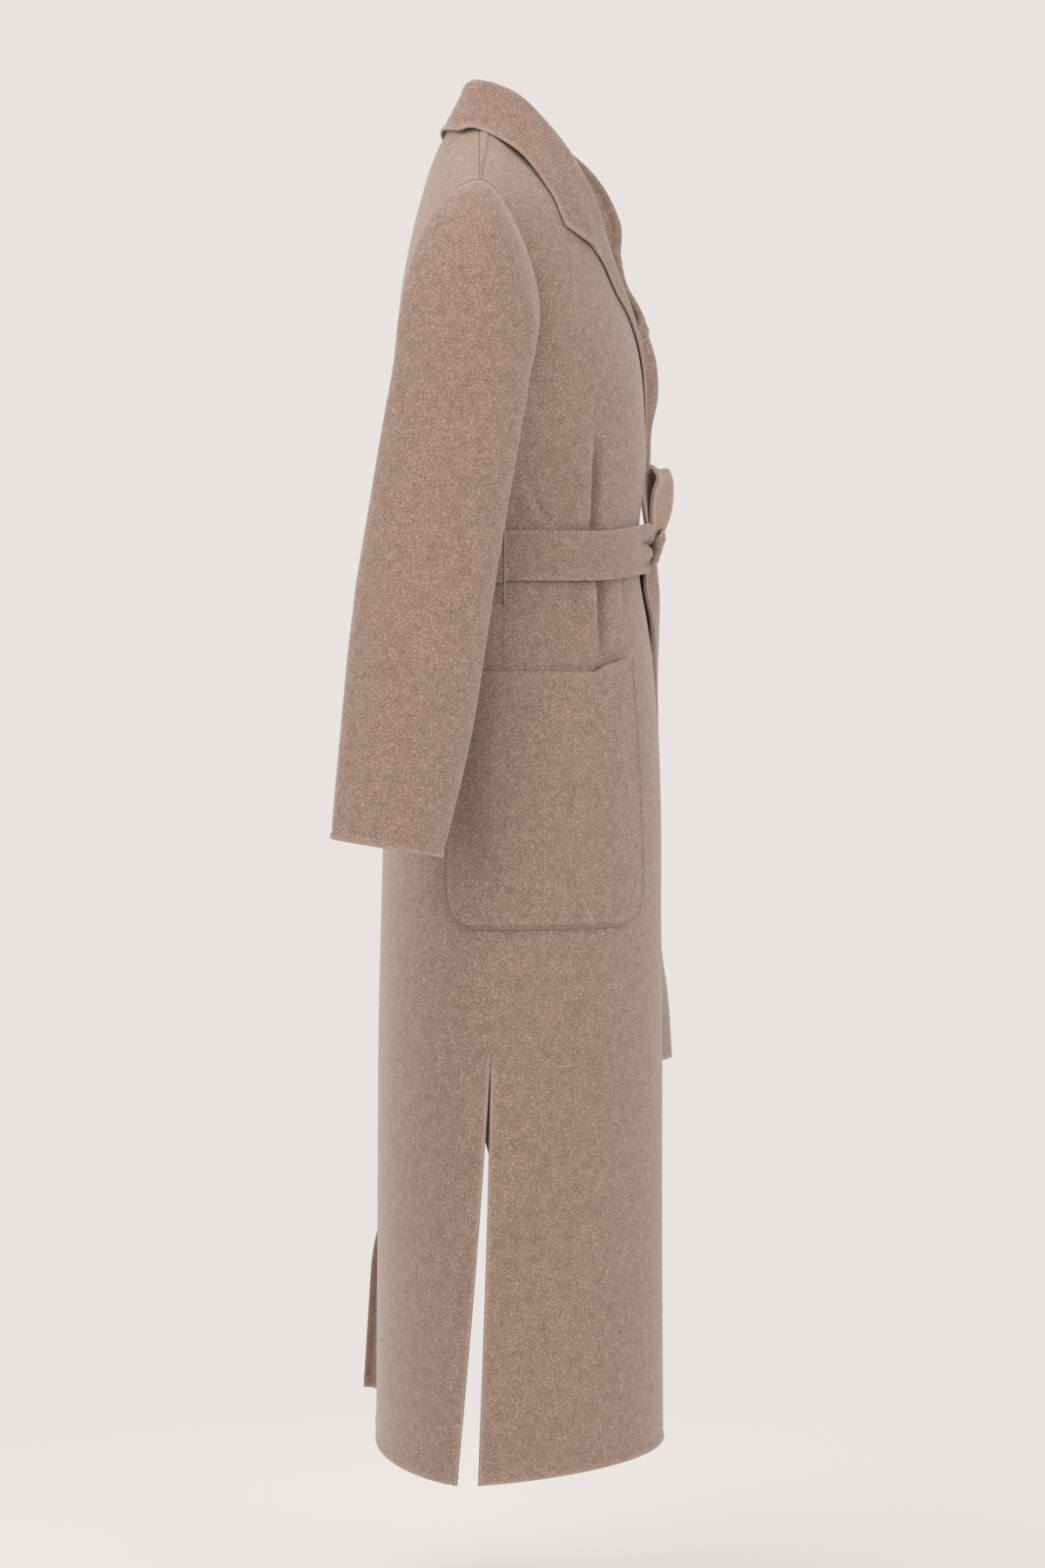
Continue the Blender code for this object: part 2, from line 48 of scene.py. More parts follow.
# The pale and dark fibre colours are also the colours that painted highlight and painted shade draw
# towards.
BROWN, DARK_FIBRE_AND_SHADE, PALE_FIBRE_AND_HIGHLIGHT = (0.286, 0.193, 0.147), (0.089, 0.055, 0.039), (0.69, 0.525, 0.43)
# Colour of turned edges: a painted highlight along them, partly their paler worn nap.
HIGHLIGHT_AND_WORN_EDGE = (0.38, 0.285, 0.235)
EDGE_REACH, EDGE_ZONE = 0.003, 0.014
NEAR_EDGE = np.array([0, 1.6, 3.2, 4.8, 6.6, 8.6, 11]) / 1000
ONE_PLACE = 2e-6


def melange():
    """The wool's material, in metres of the coat: short level streaks and single fibres draw
    the brown towards the pale or the dark fibre, and a broad mottle shifts it a little. The edge
    attribute paints light and shade into the colour: a painted highlight along turned edges and on
    lit parts, partly the edges' paler worn nap, and painted shade in seams, grooves, hollows and on
    parts in shade. The same streaks and fibres raise the nap."""
    material = bpy.data.materials.new("wool")
    material.use_nodes = True
    nodes, link = material.node_tree.nodes, material.node_tree.links.new
    shader = nodes["Principled BSDF"]
    in_coat = nodes.new("ShaderNodeTexCoord")

    def noise(per_metre, detail, rough, shift):
        """Noise with this many cells to the metre along x, y and z."""
        mapping = nodes.new("ShaderNodeMapping")
        mapping.inputs["Scale"].default_value = per_metre
        mapping.inputs["Location"].default_value = (shift, shift, shift)
        link(in_coat.outputs["Object"], mapping.inputs["Vector"])
        texture = nodes.new("ShaderNodeTexNoise")
        texture.inputs["Scale"].default_value = 1.0
        texture.inputs["Detail"].default_value = detail
        texture.inputs["Roughness"].default_value = rough
        link(mapping.outputs["Vector"], texture.inputs["Vector"])
        return texture.outputs["Fac"]

    def part(value, low, high, most):
        """0 where the value is low, rising to most where it is high."""
        scaled = nodes.new("ShaderNodeMapRange")
        scaled.inputs["From Min"].default_value = low
        scaled.inputs["From Max"].default_value = high
        scaled.inputs["To Max"].default_value = most
        link(value, scaled.inputs["Value"])
        return scaled.outputs["Result"]

    def toward(colour, fibre, amount):
        """A colour, given or linked, drawn towards a fibre's colour by this amount."""
        blend = nodes.new("ShaderNodeMix")
        blend.data_type = "RGBA"
        blend.inputs[7].default_value = (*fibre, 1)
        link(amount, blend.inputs[0])
        if isinstance(colour, tuple):
            blend.inputs[6].default_value = (*colour, 1)
        else:
            link(colour, blend.inputs[6])
        return blend.outputs[2]

    streak = noise((520, 520, 680), 2.0, 0.60, 0.0)
    fibre = noise((1100, 1100, 1500), 1.0, 0.5, 31.7)
    mottle = noise((95, 95, 130), 2.0, 0.5, 7.3)
    edge = nodes.new("ShaderNodeAttribute")
    edge.attribute_name = "edge"
    colour = toward(BROWN, PALE_FIBRE_AND_HIGHLIGHT, part(streak, 0.50, 0.72, 0.40))
    colour = toward(colour, DARK_FIBRE_AND_SHADE, part(streak, 0.50, 0.28, 0.43))
    colour = toward(colour, PALE_FIBRE_AND_HIGHLIGHT, part(fibre, 0.53, 0.78, 0.26))
    colour = toward(colour, DARK_FIBRE_AND_SHADE, part(fibre, 0.47, 0.22, 0.28))
    colour = toward(colour, DARK_FIBRE_AND_SHADE, part(mottle, 0.35, 0.75, 0.26))
    # Painted light and shade from the edge attribute: values above 0 paint a highlight, partly the paler
    # worn nap of turned edges; values below 0 paint shade into seams, grooves, hollows and parts in
    # shade.
    colour = toward(colour, PALE_FIBRE_AND_HIGHLIGHT, part(edge.outputs["Fac"], 0.0, 1.0, 0.20))
    colour = toward(colour, HIGHLIGHT_AND_WORN_EDGE, part(edge.outputs["Fac"], 0.5, 1.0, 0.75))
    colour = toward(colour, DARK_FIBRE_AND_SHADE, part(edge.outputs["Fac"], 0.0, -1.0, 0.55))
    link(colour, shader.inputs["Base Color"])
    nap = nodes.new("ShaderNodeMath")
    nap.operation = "ADD"
    link(streak, nap.inputs[0])
    link(fibre, nap.inputs[1])
    bump = nodes.new("ShaderNodeBump")
    bump.inputs["Strength"].default_value = 0.25
    bump.inputs["Distance"].default_value = 0.0005
    link(nap.outputs["Value"], bump.inputs["Height"])
    link(bump.outputs["Normal"], shader.inputs["Normal"])
    shader.inputs["Roughness"].default_value = 0.95
    shader.inputs["Specular IOR Level"].default_value = 0.12
    shader.inputs["Sheen Weight"].default_value = 0.44
    shader.inputs["Sheen Roughness"].default_value = 0.40
    shader.inputs["Sheen Tint"].default_value = (1.0, 0.97, 0.95, 1)
    return material


wool = melange()


def hump(distance, width):
    """1 where the distance is 0, falling away to both sides as a bell of this width."""
    return np.exp(-((distance / width) ** 2))


def felled(distance):
    """Height of a felled edge over the cloth: a soft ridge along the edge, then a shallow
    groove 8 mm in, where the two faces of the cloth are sewn together."""
    return 0.0009 * hump(distance - 0.002, 0.0035) - 0.0006 * hump(distance - 0.0085, 0.0022)


def spread(length, step):
    """Shares from 0 to 1 along this length: close together over the last 14 mm at both ends,
    for the felled edges, and a step apart between."""
    inside = length - 2 * EDGE_ZONE
    middle = np.linspace(EDGE_ZONE, length - EDGE_ZONE, int(inside / step) + 2)
    return np.concatenate([NEAR_EDGE, middle, length - NEAR_EDGE[::-1]]) / length


def grid_quads(rows, columns, start=0):
    """Quads between the neighbouring points of a grid, with its points counted from start."""
    index = start + np.arange(rows * columns).reshape(rows, columns)
    around = (index[:-1, :-1], index[:-1, 1:], index[1:, 1:], index[1:, :-1])
    return np.stack(around, axis=-1).reshape(-1, 4)


def free_edges(mesh, verts, quads):
    """1 for each edge of the mesh that only one quad has, else 0; points at one place count as one."""
    same = np.unique(np.round(verts, 6), axis=0, return_inverse=True)[1].reshape(-1)

    def code(pairs):
        """One number for each two points, whichever comes first."""
        pairs = np.sort(same[pairs], axis=-1)
        return pairs[:, 0] * len(verts) + pairs[:, 1]

    sides = np.stack([quads, np.roll(quads, -1, axis=1)], axis=-1).reshape(-1, 2)
    found, uses = np.unique(code(sides), return_counts=True)
    lines = np.empty(2 * len(mesh.edges), np.int32)
    mesh.edges.foreach_get("vertices", lines)
    return np.isin(code(lines.reshape(-1, 2)), found[uses == 1]).astype(np.float32)


def cloth(name, patches, thick=CLOTH, place=-1.0, turned=False, soft=0.42):
    """A piece of cloth from grids of points, each with its edge values: quads between neighbouring
    points, joined where grids meet, thickened, and rounded along the free edges by a share of the
    thickness. The grid is the outer face where place is -1, the middle at 0, the inner face at 1;
    turned is for a grid whose rows run the other way round."""
    sizes = [points.shape[:2] for points, _ in patches]
    starts = np.cumsum([0] + [rows * columns for rows, columns in sizes])
    quads = np.concatenate([grid_quads(*size, start) for size, start in zip(sizes, starts)])
    quads = quads[:, ::-1] if turned else np.roll(quads, 1, axis=1)
    verts = np.concatenate([points.reshape(-1, 3) for points, _ in patches])
    edge = np.concatenate([values.reshape(-1) for _, values in patches])
    mesh = bpy.data.meshes.new(name)
    mesh.from_pydata(verts.tolist(), [], quads.tolist())
    # The edge values, painted light and shade, go into an attribute that the wool reads.
    worn = mesh.attributes.new("edge", "FLOAT", "POINT")
    worn.data.foreach_set("value", edge.astype(np.float32))
    mesh.polygons.foreach_set("use_smooth", np.ones(len(quads), bool))
    rounded = mesh.attributes.new("bevel_weight_edge", "FLOAT", "EDGE")
    rounded.data.foreach_set("value", free_edges(mesh, verts, quads))
    mesh.materials.append(wool)
    piece = bpy.data.objects.new(name + "_cloth", mesh)
    bpy.context.scene.collection.objects.link(piece)
    weld = piece.modifiers.new("joined", "WELD")
    weld.merge_threshold = ONE_PLACE
    wall = piece.modifiers.new("thickness", "SOLIDIFY")
    wall.thickness, wall.offset = thick, place
    rim = piece.modifiers.new("rim", "BEVEL")
    rim.width, rim.segments, rim.use_clamp_overlap = soft * thick, 3, False
    rim.limit_method = "WEIGHT"
    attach(piece, "root")
    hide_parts(name)
    return piece


# Body of the coat. The back and the two fronts hang from the shoulder seams and meet at the
# side seams; their form is laid out on level lines, from the shoulder seam (level 0) over the
# armhole (to level 6), the belt (9 to 10) and the pocket (12 to 15) to the slit (16) and the hem (18).
RIGHT, LEFT = -1, 1
ARM_ROWS, BELT_TOP, BELT_LOW, POCKET_TOP, POCKET_LOW, SLIT_TOP, HEM = 6, 9, 10, 12, 15, 16, 18
LAPEL_TOP, LAPEL_END = 3.27, 8.6
LEVEL_TURN, ROW_STEP = 30, 0.0052


def mix(first, last, share):
    """The value this share of the way from the first to the last."""
    return first + (last - first) * share


def ease(share):
    """0 to 1 with flat ends."""
    share = np.clip(share, 0, 1)
    return share * share * (3 - 2 * share)


def run(points):
    """Metres from the first of these points to each, along the line or lines that they make."""
    return np.linalg.norm(np.diff(points, axis=0, prepend=points[:1]), axis=-1).cumsum(axis=0)


def unit(vectors):
    """The same directions, each of length 1."""
    return vectors / np.maximum(np.linalg.norm(vectors, axis=-1, keepdims=True), 1e-12)


def table(columns, *rows):
    """Rows of numbers, as one array for each named column."""
    return dict(zip(columns.split(), np.array(rows, float).T))


# One row a level: ARM from the shoulder to just above the underarm, SKIRT from there to the hem.
ARM = table(
    "front_y front_z front_round inner_x back_y back_z back_round under puff",
    (0.041, 0.060, 0.00, 0.0667, 0.041, 0.060, 0.00, 0.000, 0.000),
    (0.004, 0.052, 0.35, 0.0700, 0.078, 0.014, 0.35, 0.000, 0.003),
    (-0.050, 0.022, 0.75, 0.0690, 0.099, -0.048, 0.60, 0.000, 0.019),
    (-0.071, -0.030, 0.95, 0.0620, 0.112, -0.108, 0.75, 0.000, 0.019),
    (-0.088, -0.095, 1.00, 0.0450, 0.119, -0.160, 0.85, 0.003, 0.012),
    (-0.1045, -0.155, 1.00, 0.0180, 0.121, -0.205, 0.95, 0.0172, 0.0250),
)
SKIRT = table(
    "side_x side_z front_side_y back_side_y front_y front_z inner_x back_y flat under puff",
    (0.207, -0.240, 0.026, 0.026, -0.1135, -0.200, -0.006, 0.1200, 1.0, 0.0165, 0.0235),
    (0.204, -0.275, 0.022, 0.022, -0.1170, -0.245, -0.028, 0.1170, 1.0, 0.0210, 0.0200),
    (0.196, -0.318, 0.019, 0.019, -0.1185, -0.295, -0.056, 0.1100, 1.0, 0.0215, 0.0225),
    (0.188, -0.371, 0.016, 0.016, -0.112, -0.350, -0.078, 0.1040, 1.0, 0.015, 0.000),
    (0.187, -0.417, 0.016, 0.016, -0.112, -0.398, -0.080, 0.1040, 1.0, 0.009, 0.000),
    (0.199, -0.455, 0.017, 0.017, -0.120, -0.448, -0.080, 0.1110, 1.0, 0.009, 0.000),
    (0.213, -0.500, 0.018, 0.018, -0.126, -0.497, -0.080, 0.1190, 1.0, 0.008, 0.000),
    (0.222, -0.565, 0.021, 0.021, -0.131, -0.565, -0.080, 0.1270, 1.0, 0.006, 0.000),
    (0.227, -0.645, 0.023, 0.023, -0.133, -0.645, -0.080, 0.1330, 1.0, 0.005, 0.000),
    (0.230, -0.730, 0.024, 0.024, -0.133, -0.730, -0.080, 0.1355, 1.0, 0.005, 0.000),
    (0.233, -0.841, 0.028, 0.028, -0.134, -0.841, -0.080, 0.1380, 1.0, 0.005, 0.000),
    (0.235, -1.030, 0.033, 0.041, -0.134, -1.030, -0.080, 0.1390, 1.3, 0.005, 0.000),
    (0.236, -1.226, 0.040, 0.058, -0.135, -1.226, -0.080, 0.1400, 1.5, 0.005, 0.000),
)


def through(values, place, knots=None):
    """Smooth curve through the rows of values, which lie at these knots or at 0, 1, 2 and so on:
    a cubic between each two rows, with slopes from the rows on either side."""
    values, place = np.asarray(values, float), np.asarray(place, float)
    knots = np.arange(len(values), dtype=float) if knots is None else knots
    slope = np.gradient(values, knots, axis=0)
    low = np.clip(np.searchsorted(knots, place, side="right") - 1, 0, len(values) - 2)
    step = knots[low + 1] - knots[low]
    t = (place - knots[low]) / step
    t, step = (a.reshape(a.shape + (1,) * (values.ndim - 1)) for a in (t, step))
    ends = values[low] * (1 + 2 * t) * (1 - t) ** 2 + values[low + 1] * t * t * (3 - 2 * t)
    return ends + step * (slope[low] * t * (1 - t) ** 2 - slope[low + 1] * t * t * (1 - t))


def both(name):
    """A column of both tables: the armhole's levels, then those below."""
    return np.concatenate([ARM[name], SKIRT[name]])


def armhole(turn):
    """Armhole seam: an egg in side view, narrower to the front, that dips in towards the chest.
    turn is 0 at the shoulder, 180 under the arm and + to the front."""
    c, s = np.cos(np.radians(turn)), np.sin(np.radians(turn))
    x = mix(0.200, 0.207, (1 - c) / 2) - 0.0105 * s * s
    deep = np.where(s > 0, 0.0525 * (1 - 0.38 * c), 0.060 * (1 - 0.2 * c))
    y = 0.039 - deep * s - 0.013 * ease(np.abs(turn) / LEVEL_TURN - 5)
    return x, y, -0.147 + 0.093 * c


def body(level, angle):
    """Outer face of the body. level is + down the front and - down the back; angle is 0 at the side,
    90 at the middle. Each level line runs from its side point to its middle point, straight at the
    shoulder and as half an ellipse below the chest; the back neckline rises to the middle."""
    level, angle = np.broadcast_arrays(np.asarray(level, float), np.asarray(angle, float))
    depth = np.abs(level)
    below = np.clip(depth - ARM_ROWS, 0, None)

    def at_side(level):
        """The side edge: the armhole, then the side seam."""
        below = np.clip(np.abs(level) - ARM_ROWS, 0, None)
        arm = armhole(LEVEL_TURN * np.clip(level, -ARM_ROWS, ARM_ROWS))
        y = np.where(level > 0, *(through(SKIRT[face + "_side_y"], below) for face in ("front", "back")))
        seam = (through(SKIRT["side_x"], below), y, through(SKIRT["side_z"], below))
        return [np.where(below > 0, *pair) for pair in zip(seam, arm)]

    def over(front, back):
        """A smooth curve up the back's values, over the shoulder and down the front's."""
        return through(np.concatenate([back[:0:-1], front]), level + HEM)

    whole = np.ones(len(SKIRT["flat"]))
    mid_y = over(both("front_y"), both("back_y"))
    mid_z = over(both("front_z"), np.concatenate([ARM["back_z"], SKIRT["side_z"]]))
    curve = [np.concatenate([ARM[face + "_round"], whole]) for face in ("front", "back")]
    curve = np.clip(over(*curve), 0, 1)
    reach = 0.7 * ease(angle / 40) * ease((depth - 3.5) / 1.5) * ease((8.5 - depth) / 1.5)
    around = zip(at_side(level - reach), at_side(level), at_side(level + reach))
    side_x, side_y, side_z = ((before + 2 * here + after) / 4 for before, here, after in around)
    flat = through(SKIRT["flat"], below)
    share = mix(angle / 90, 1 - np.cos(np.radians(angle)), curve)
    soft = 0.2 * ease(depth / 1.5) * (level < 0)

    def inward(part):
        """A share with its end rounded off on the back, so that the two halves meet smoothly."""
        return 1 - (np.hypot(1 - part, soft) - soft) / (np.hypot(1, soft) - soft)

    bow = np.clip(np.sin(np.radians(angle)), 0, 1) ** flat
    x = side_x * (1 - share)
    y = mix(side_y, mid_y, mix(inward(angle / 90), bow, curve))
    z = mix(side_z, mid_z, inward(share))
    neck, near = np.clip(np.abs(3 * x / side_x), 0, 1), ease(1 + level) * (level < 0)
    y = y + 0.022 * np.sqrt(1 - neck**2) * near
    z = z - 0.026 * (1 - neck) ** 2 * near
    return np.stack([x, y, z], axis=-1)


def front(level, u, side):
    """A front's outer face: u is 0 at the side edge and 1 at the inner edge. The left front lies
    beneath the right where they lap, and stands out a little beside it and at its slit. The angle
    of the inner edge is found by halving."""
    level, u = np.broadcast_arrays(np.asarray(level, float), np.asarray(u, float))
    inner_x = through(both("inner_x"), level)
    low, high = np.zeros(level.shape), np.full(level.shape, 180.0)
    for _ in range(26):
        half = (low + high) / 2
        past = body(level, half)[..., 0] < inner_x
        low, high = np.where(past, low, half), np.where(past, half, high)
    points = body(level, low * u)
    if side == LEFT:
        x = points[..., 0]
        open_slit = ease((level - SLIT_TOP) / 0.25) * ease((16.86 - level) / 0.3)
        points[..., 1] += 0.012 * open_slit * ease(1 - u / 0.2)
        lap = through(both("under"), level) * ease((0.045 - inner_x - x) / 0.035)
        beside = hump(x - np.maximum(0.055, 0.030 - inner_x), 0.04)
        points[..., 1] += lap - through(both("puff"), level) * beside
    return points * (side, 1, 1)


def level_rows(step):
    """Levels from the shoulder to the hem, evenly spaced on the cloth and close at both ends,
    with one row each at the ends of the lapel."""
    dense = np.linspace(-0.012, HEM, 1500)
    length = run(body(dense, 40.0))
    rows = np.interp(spread(length[-1], step) * length[-1], length, dense)
    for at in (LAPEL_TOP, LAPEL_END):
        rows[np.argmin(np.abs(rows - at))] = at
    return rows


def fold(points, axes, start, end, wide, high):
    """Height of a soft fold along the line from start to end, given in two axes: a ridge on the side
    where the first axis grows, a sharper hollow on the other, both growing from start to end."""
    start, end = np.array(start), np.array(end)
    length = np.linalg.norm(end - start)
    along = (end - start) / length
    place = points[..., axes] - start
    square = np.array([abs(along[1]), -along[0] * np.sign(along[1])])
    t, across = place @ along / length, place @ square
    grown = ease(t / 0.8) * ease((1.3 - t) / 0.3)
    ridge = hump(across - 0.6 * wide, wide)
    hollow = hump(across + 0.40 * wide, 0.45 * wide)
    return high * grown * (ridge - 1.2 * hollow)


def clear_of_belt(height, level):
    """The same height, but no fold stands up under the belt."""
    away = np.abs(np.abs(level) - (BELT_TOP + BELT_LOW) / 2) - (BELT_LOW - BELT_TOP) / 2
    return np.where(height > 0, height * ease(away / 0.2), height)


rows = level_rows(ROW_STEP)


def under_sleeve(points, edge, next_in):
    """An edge column of a panel, moved on under the sleeve by up to the wall's thickness where it
    follows the armhole: along the cloth, square to the edge."""
    line = points[:, edge]
    along = unit(np.gradient(line, axis=0))
    inward = points[:, next_in] - line
    inward = unit(inward - (inward * along).sum(axis=-1, keepdims=True) * along)
    deep = CLOTH * ease(rows - 0.3) * ease((ARM_ROWS - rows) / 0.6)
    return line - deep[:, None] * inward


# Back. One wide panel from the neck and the shoulder seams to the hem, without a seam in the
# middle. It is sewn to the fronts down to the slits, and its left half swings out below.
BACK_WIDTH, SWING = 0.58, (-0.019, 0.105, 0.009)
BACK_PLEATS = (
    ((-0.105, -0.250), (-0.098, -0.368), 0.010, 0.0026),
    ((-0.030, -0.270), (-0.034, -0.366), 0.012, 0.0020),
    ((0.052, -0.240), (0.046, -0.368), 0.011, 0.0026),
    ((0.120, -0.270), (0.112, -0.370), 0.009, 0.0022),
    ((-0.112, -0.560), (-0.096, -0.418), 0.012, 0.0026),
    ((-0.020, -0.530), (-0.028, -0.418), 0.011, 0.0020),
    ((0.070, -0.570), (0.058, -0.418), 0.013, 0.0026),
)


def measured(points):
    """Metres of cloth from the first column along each row, and from the first row down each column."""
    return run(points.swapaxes(0, 1)).T, run(points)


def outward(points):
    """Unit normals of a grid: the direction along its rows crossed with that down its columns."""
    return unit(np.cross(np.gradient(points, axis=1), np.gradient(points, axis=0)))


def back_panel():
    """The body's outer face from one side edge round to the other. Below the slits the left half is
    moved out, more towards its edge; pleats, felled edges and hem are heights over that face."""
    level, angle = rows[:, None], 180 * spread(BACK_WIDTH, 0.0048)[None, :]
    points = body(-np.maximum(level, 0.002), angle) * (-1, 1, 1)
    swing = ease(np.clip((level - SLIT_TOP) / 1.4, 0, 1) ** 0.75) * (1 + 0.05 * (HEM - level))
    swing = swing * np.clip(angle / 90 - 1, 0, 1) ** 1.5
    points += swing[..., None] * SWING
    across, down = measured(points)
    from_side = np.minimum(across, across[:, -1:] - across)
    from_hem = down[-1:] - down
    free = ease((level - SLIT_TOP) / 0.15)
    height = free * felled(from_side) + felled(from_hem)
    for pleat in BACK_PLEATS:
        height += clear_of_belt(fold(points, [0, 2], *pleat), level)
    points = points + outward(points) * height[..., None]
    points[:, [0, -1]] += 0.25 * (1 - free)[..., None] * (points[:, [0, -1]] - points[:, [1, -2]])
    points[:, 0], points[:, -1] = under_sleeve(points, 0, 1), under_sleeve(points, -1, -2)
    # Edge values: a painted highlight along the hem and the free edges of the slits.
    return points, hump(np.minimum(from_hem, np.where(free > 0.5, from_side, 1)), EDGE_REACH)


back = cloth("back", [back_panel()])

# Fronts. Each is one panel with its lapel cut on, turned back along the roll line. The right
# front laps over the left; both are pulled in by the belt, in soft pleats over and under it.
FRONT_WIDTH, ROLL, LAID = 0.30, 0.0016, 0.0004
LAPEL_EDGE = table(
    "level u",
    (2.9, 0.745),
    (3.64, 0.868),
    (3.94, 0.888),
    (4.22, 0.900),
    (4.62, 0.942),
    (5.1, 0.966),
    (7.4, 0.966),
    (8.6, 0.990),
)
FRONT_PLEATS = (
    ((-0.0650, -0.245), (-0.0610, -0.358), 0.0120, 0.0070),
    ((0.0060, -0.325), (-0.0220, -0.360), 0.0075, 0.0042),
    ((-0.0260, -0.345), (-0.0325, -0.362), 0.0040, 0.0022),
    ((-0.0450, -0.440), (-0.0415, -0.411), 0.0050, 0.0022),
    ((-0.0690, -0.510), (-0.0665, -0.410), 0.0120, 0.0075),
    ((-0.0920, -0.470), (-0.0900, -0.410), 0.0080, 0.0020),
)


def lapel(levels, side):
    """The lapel on these levels: half a turn over the fold, then back along the front's outer face
    to an edge that comes out from under the collar, bends at the peak and runs close to the fold."""
    level = levels[:, None]
    down = (level - LAPEL_TOP) / (LAPEL_END - LAPEL_TOP)
    fold_at = front(level, np.array([[0.97, 1.0]]), side)
    ahead = unit(fold_at[:, 1] - fold_at[:, 0])
    below = front(levels + 0.1, 1.0, side) - fold_at[:, 1]
    out = unit(side * np.cross(ahead, below))
    roll = mix(ROLL, 0.6 * ROLL, ease(down))[..., None]
    turn = np.radians(np.linspace(0, 180, 11))[None, :, None]
    rolled = fold_at[:, 1:] + roll * (np.sin(turn) * ahead[:, None] + (1 - np.cos(turn)) * out[:, None])
    edge_at = mix(LAPEL_EDGE["level"][0], LAPEL_END, down)
    edge_u = through(LAPEL_EDGE["u"], edge_at, LAPEL_EDGE["level"])
    wide = np.linalg.norm(front(edge_at, edge_u, side) - front(level, 1.0, side), axis=-1)
    from_edge = np.concatenate([np.arange(0.060, 0.012, -0.0024), NEAR_EDGE[::-1]])
    share = 1 - np.minimum(from_edge / wide, 1)
    u = mix(1.0, edge_u, share)
    at = mix(level, edge_at, share)
    step_u = front(at, u + 0.01, side) - front(at, u - 0.01, side)
    step_down = front(at + 0.03, u, side) - front(at - 0.03, u, side)
    normal = unit(side * np.cross(step_u, step_down))
    lift = mix(2 * roll[..., 0], LAID, ease(share / 0.9))
    laid = front(at, u, side) + lift[..., None] * mix(out[:, None], normal, ease(share / 0.4)[..., None])
    return np.concatenate([rolled, laid], axis=1)


def make_front(name, side, pleats):
    """The front's outer face and its lapel, joined along the fold. Over that face stand the felled
    edges and the pleats, and the turning along the shoulder seam, between two stitched grooves."""
    level, u = rows[:, None], spread(FRONT_WIDTH, 0.0046)[None, :]
    points = front(level, u, side)
    across, down = measured(points)
    from_inner, from_hem = across[:, -1:] - across, down[-1:] - down
    slit, edge_free = ease((level - SLIT_TOP) / 0.15), ease((level - LAPEL_END) / 0.4)
    height = slit * felled(across) + edge_free * felled(from_inner) + felled(from_hem)
    strip = mix(0.0030, 0.0095, ease(u * 1.2))
    stitched = hump(down - strip, 0.0014) + 0.7 * hump(down, 0.0014)
    height += 0.0006 * ease((strip - down) / 0.0015) - 0.0010 * stitched
    pleated = sum(clear_of_belt(fold(points, [1, 2], *pleat), level) for pleat in pleats)
    height += pleated
    points = points + side * outward(points) * height[..., None]
    points[:, :1] += 0.25 * (1 - slit)[..., None] * (points[:, :1] - points[:, 1:2])
    points[:, 0] = under_sleeve(points, 0, 1)
    # Edge values: a painted highlight along the free edges and the hem, and painted shade in the
    # stitched grooves and in the pleats' hollows.
    from_free = np.minimum(np.where(slit > 0.5, across, 1), np.where(edge_free > 0.5, from_inner, 1))
    worn = hump(np.minimum(from_hem, from_free), EDGE_REACH) - 0.45 * stitched - ease(-pleated / 0.005)
    turned_back = (rows >= LAPEL_TOP) & (rows <= LAPEL_END)
    flap = lapel(rows[turned_back], side)
    flap[:, 0] = points[turned_back, -1]
    flap_across, flap_down = measured(flap)
    from_edge = np.minimum(flap_across[:, -1:] - flap_across, 2 * flap_down)
    flap = flap - side * outward(flap) * (felled(from_edge) * ease(flap_across / 0.02))[..., None]
    flap[:, 0] = points[turned_back, -1]
    # The lapel's edge values: a painted highlight along its edges.
    patches = [(points, worn), (flap, hump(from_edge, EDGE_REACH))]
    piece = cloth(name, patches, turned=side == RIGHT)


left_pleats = [((y, z + 0.004), end, 1.1 * wide, 0.8 * high) for (y, z), end, wide, high in FRONT_PLEATS]
make_front("front_right", RIGHT, FRONT_PLEATS)
make_front("front_left", LEFT, left_pleats)

# Sleeves. Set-in sleeves, each one tube with a low cap and a plain turned cuff. They hang a
# little forward of straight down, and fold softly inside the elbow.
SEAM_LAP = 0.0003
SLEEVE = table(
    "out_x out_z in_x in_z mid_y front_depth back_depth egg drop",
    (0.222, -0.068, 0.2095, -0.2405, 0.0415, 0.0528, 0.0610, 0.33, 0),
    (0.245, -0.095, 0.2105, -0.2445, 0.0440, 0.0555, 0.0630, 0.25, 0),
    (0.263, -0.133, 0.2105, -0.2500, 0.0465, 0.0590, 0.0645, 0.16, 0),
    (0.278, -0.195, 0.2100, -0.2620, 0.0505, 0.0580, 0.0645, 0.08, 0),
    (0.288, -0.270, 0.2110, -0.2950, 0.0610, 0.0605, 0.0635, 0.00, 0),
    (0.300, -0.370, 0.2150, -0.3750, 0.0770, 0.0610, 0.0620, 0.00, 0),
    (0.312, -0.460, 0.2230, -0.4600, 0.0905, 0.0610, 0.0610, 0.00, 0),
    (0.322, -0.560, 0.2370, -0.5580, 0.1030, 0.0575, 0.0575, 0.00, 0.002),
    (0.330, -0.656, 0.2530, -0.6565, 0.1190, 0.0490, 0.0490, 0.00, 0.008),
)
SLEEVE_FOLDS = (
    ((0.020, -0.300), (-0.010, -0.262), 0.010, 0.0016),
    ((0.075, -0.420), (0.022, -0.400), 0.012, 0.0016),
    ((0.085, -0.470), (0.036, -0.436), 0.011, 0.0014),
    ((0.120, -0.350), (0.132, -0.430), 0.014, 0.0012),
    ((0.085, -0.560), (0.060, -0.520), 0.012, 0.0010),
)


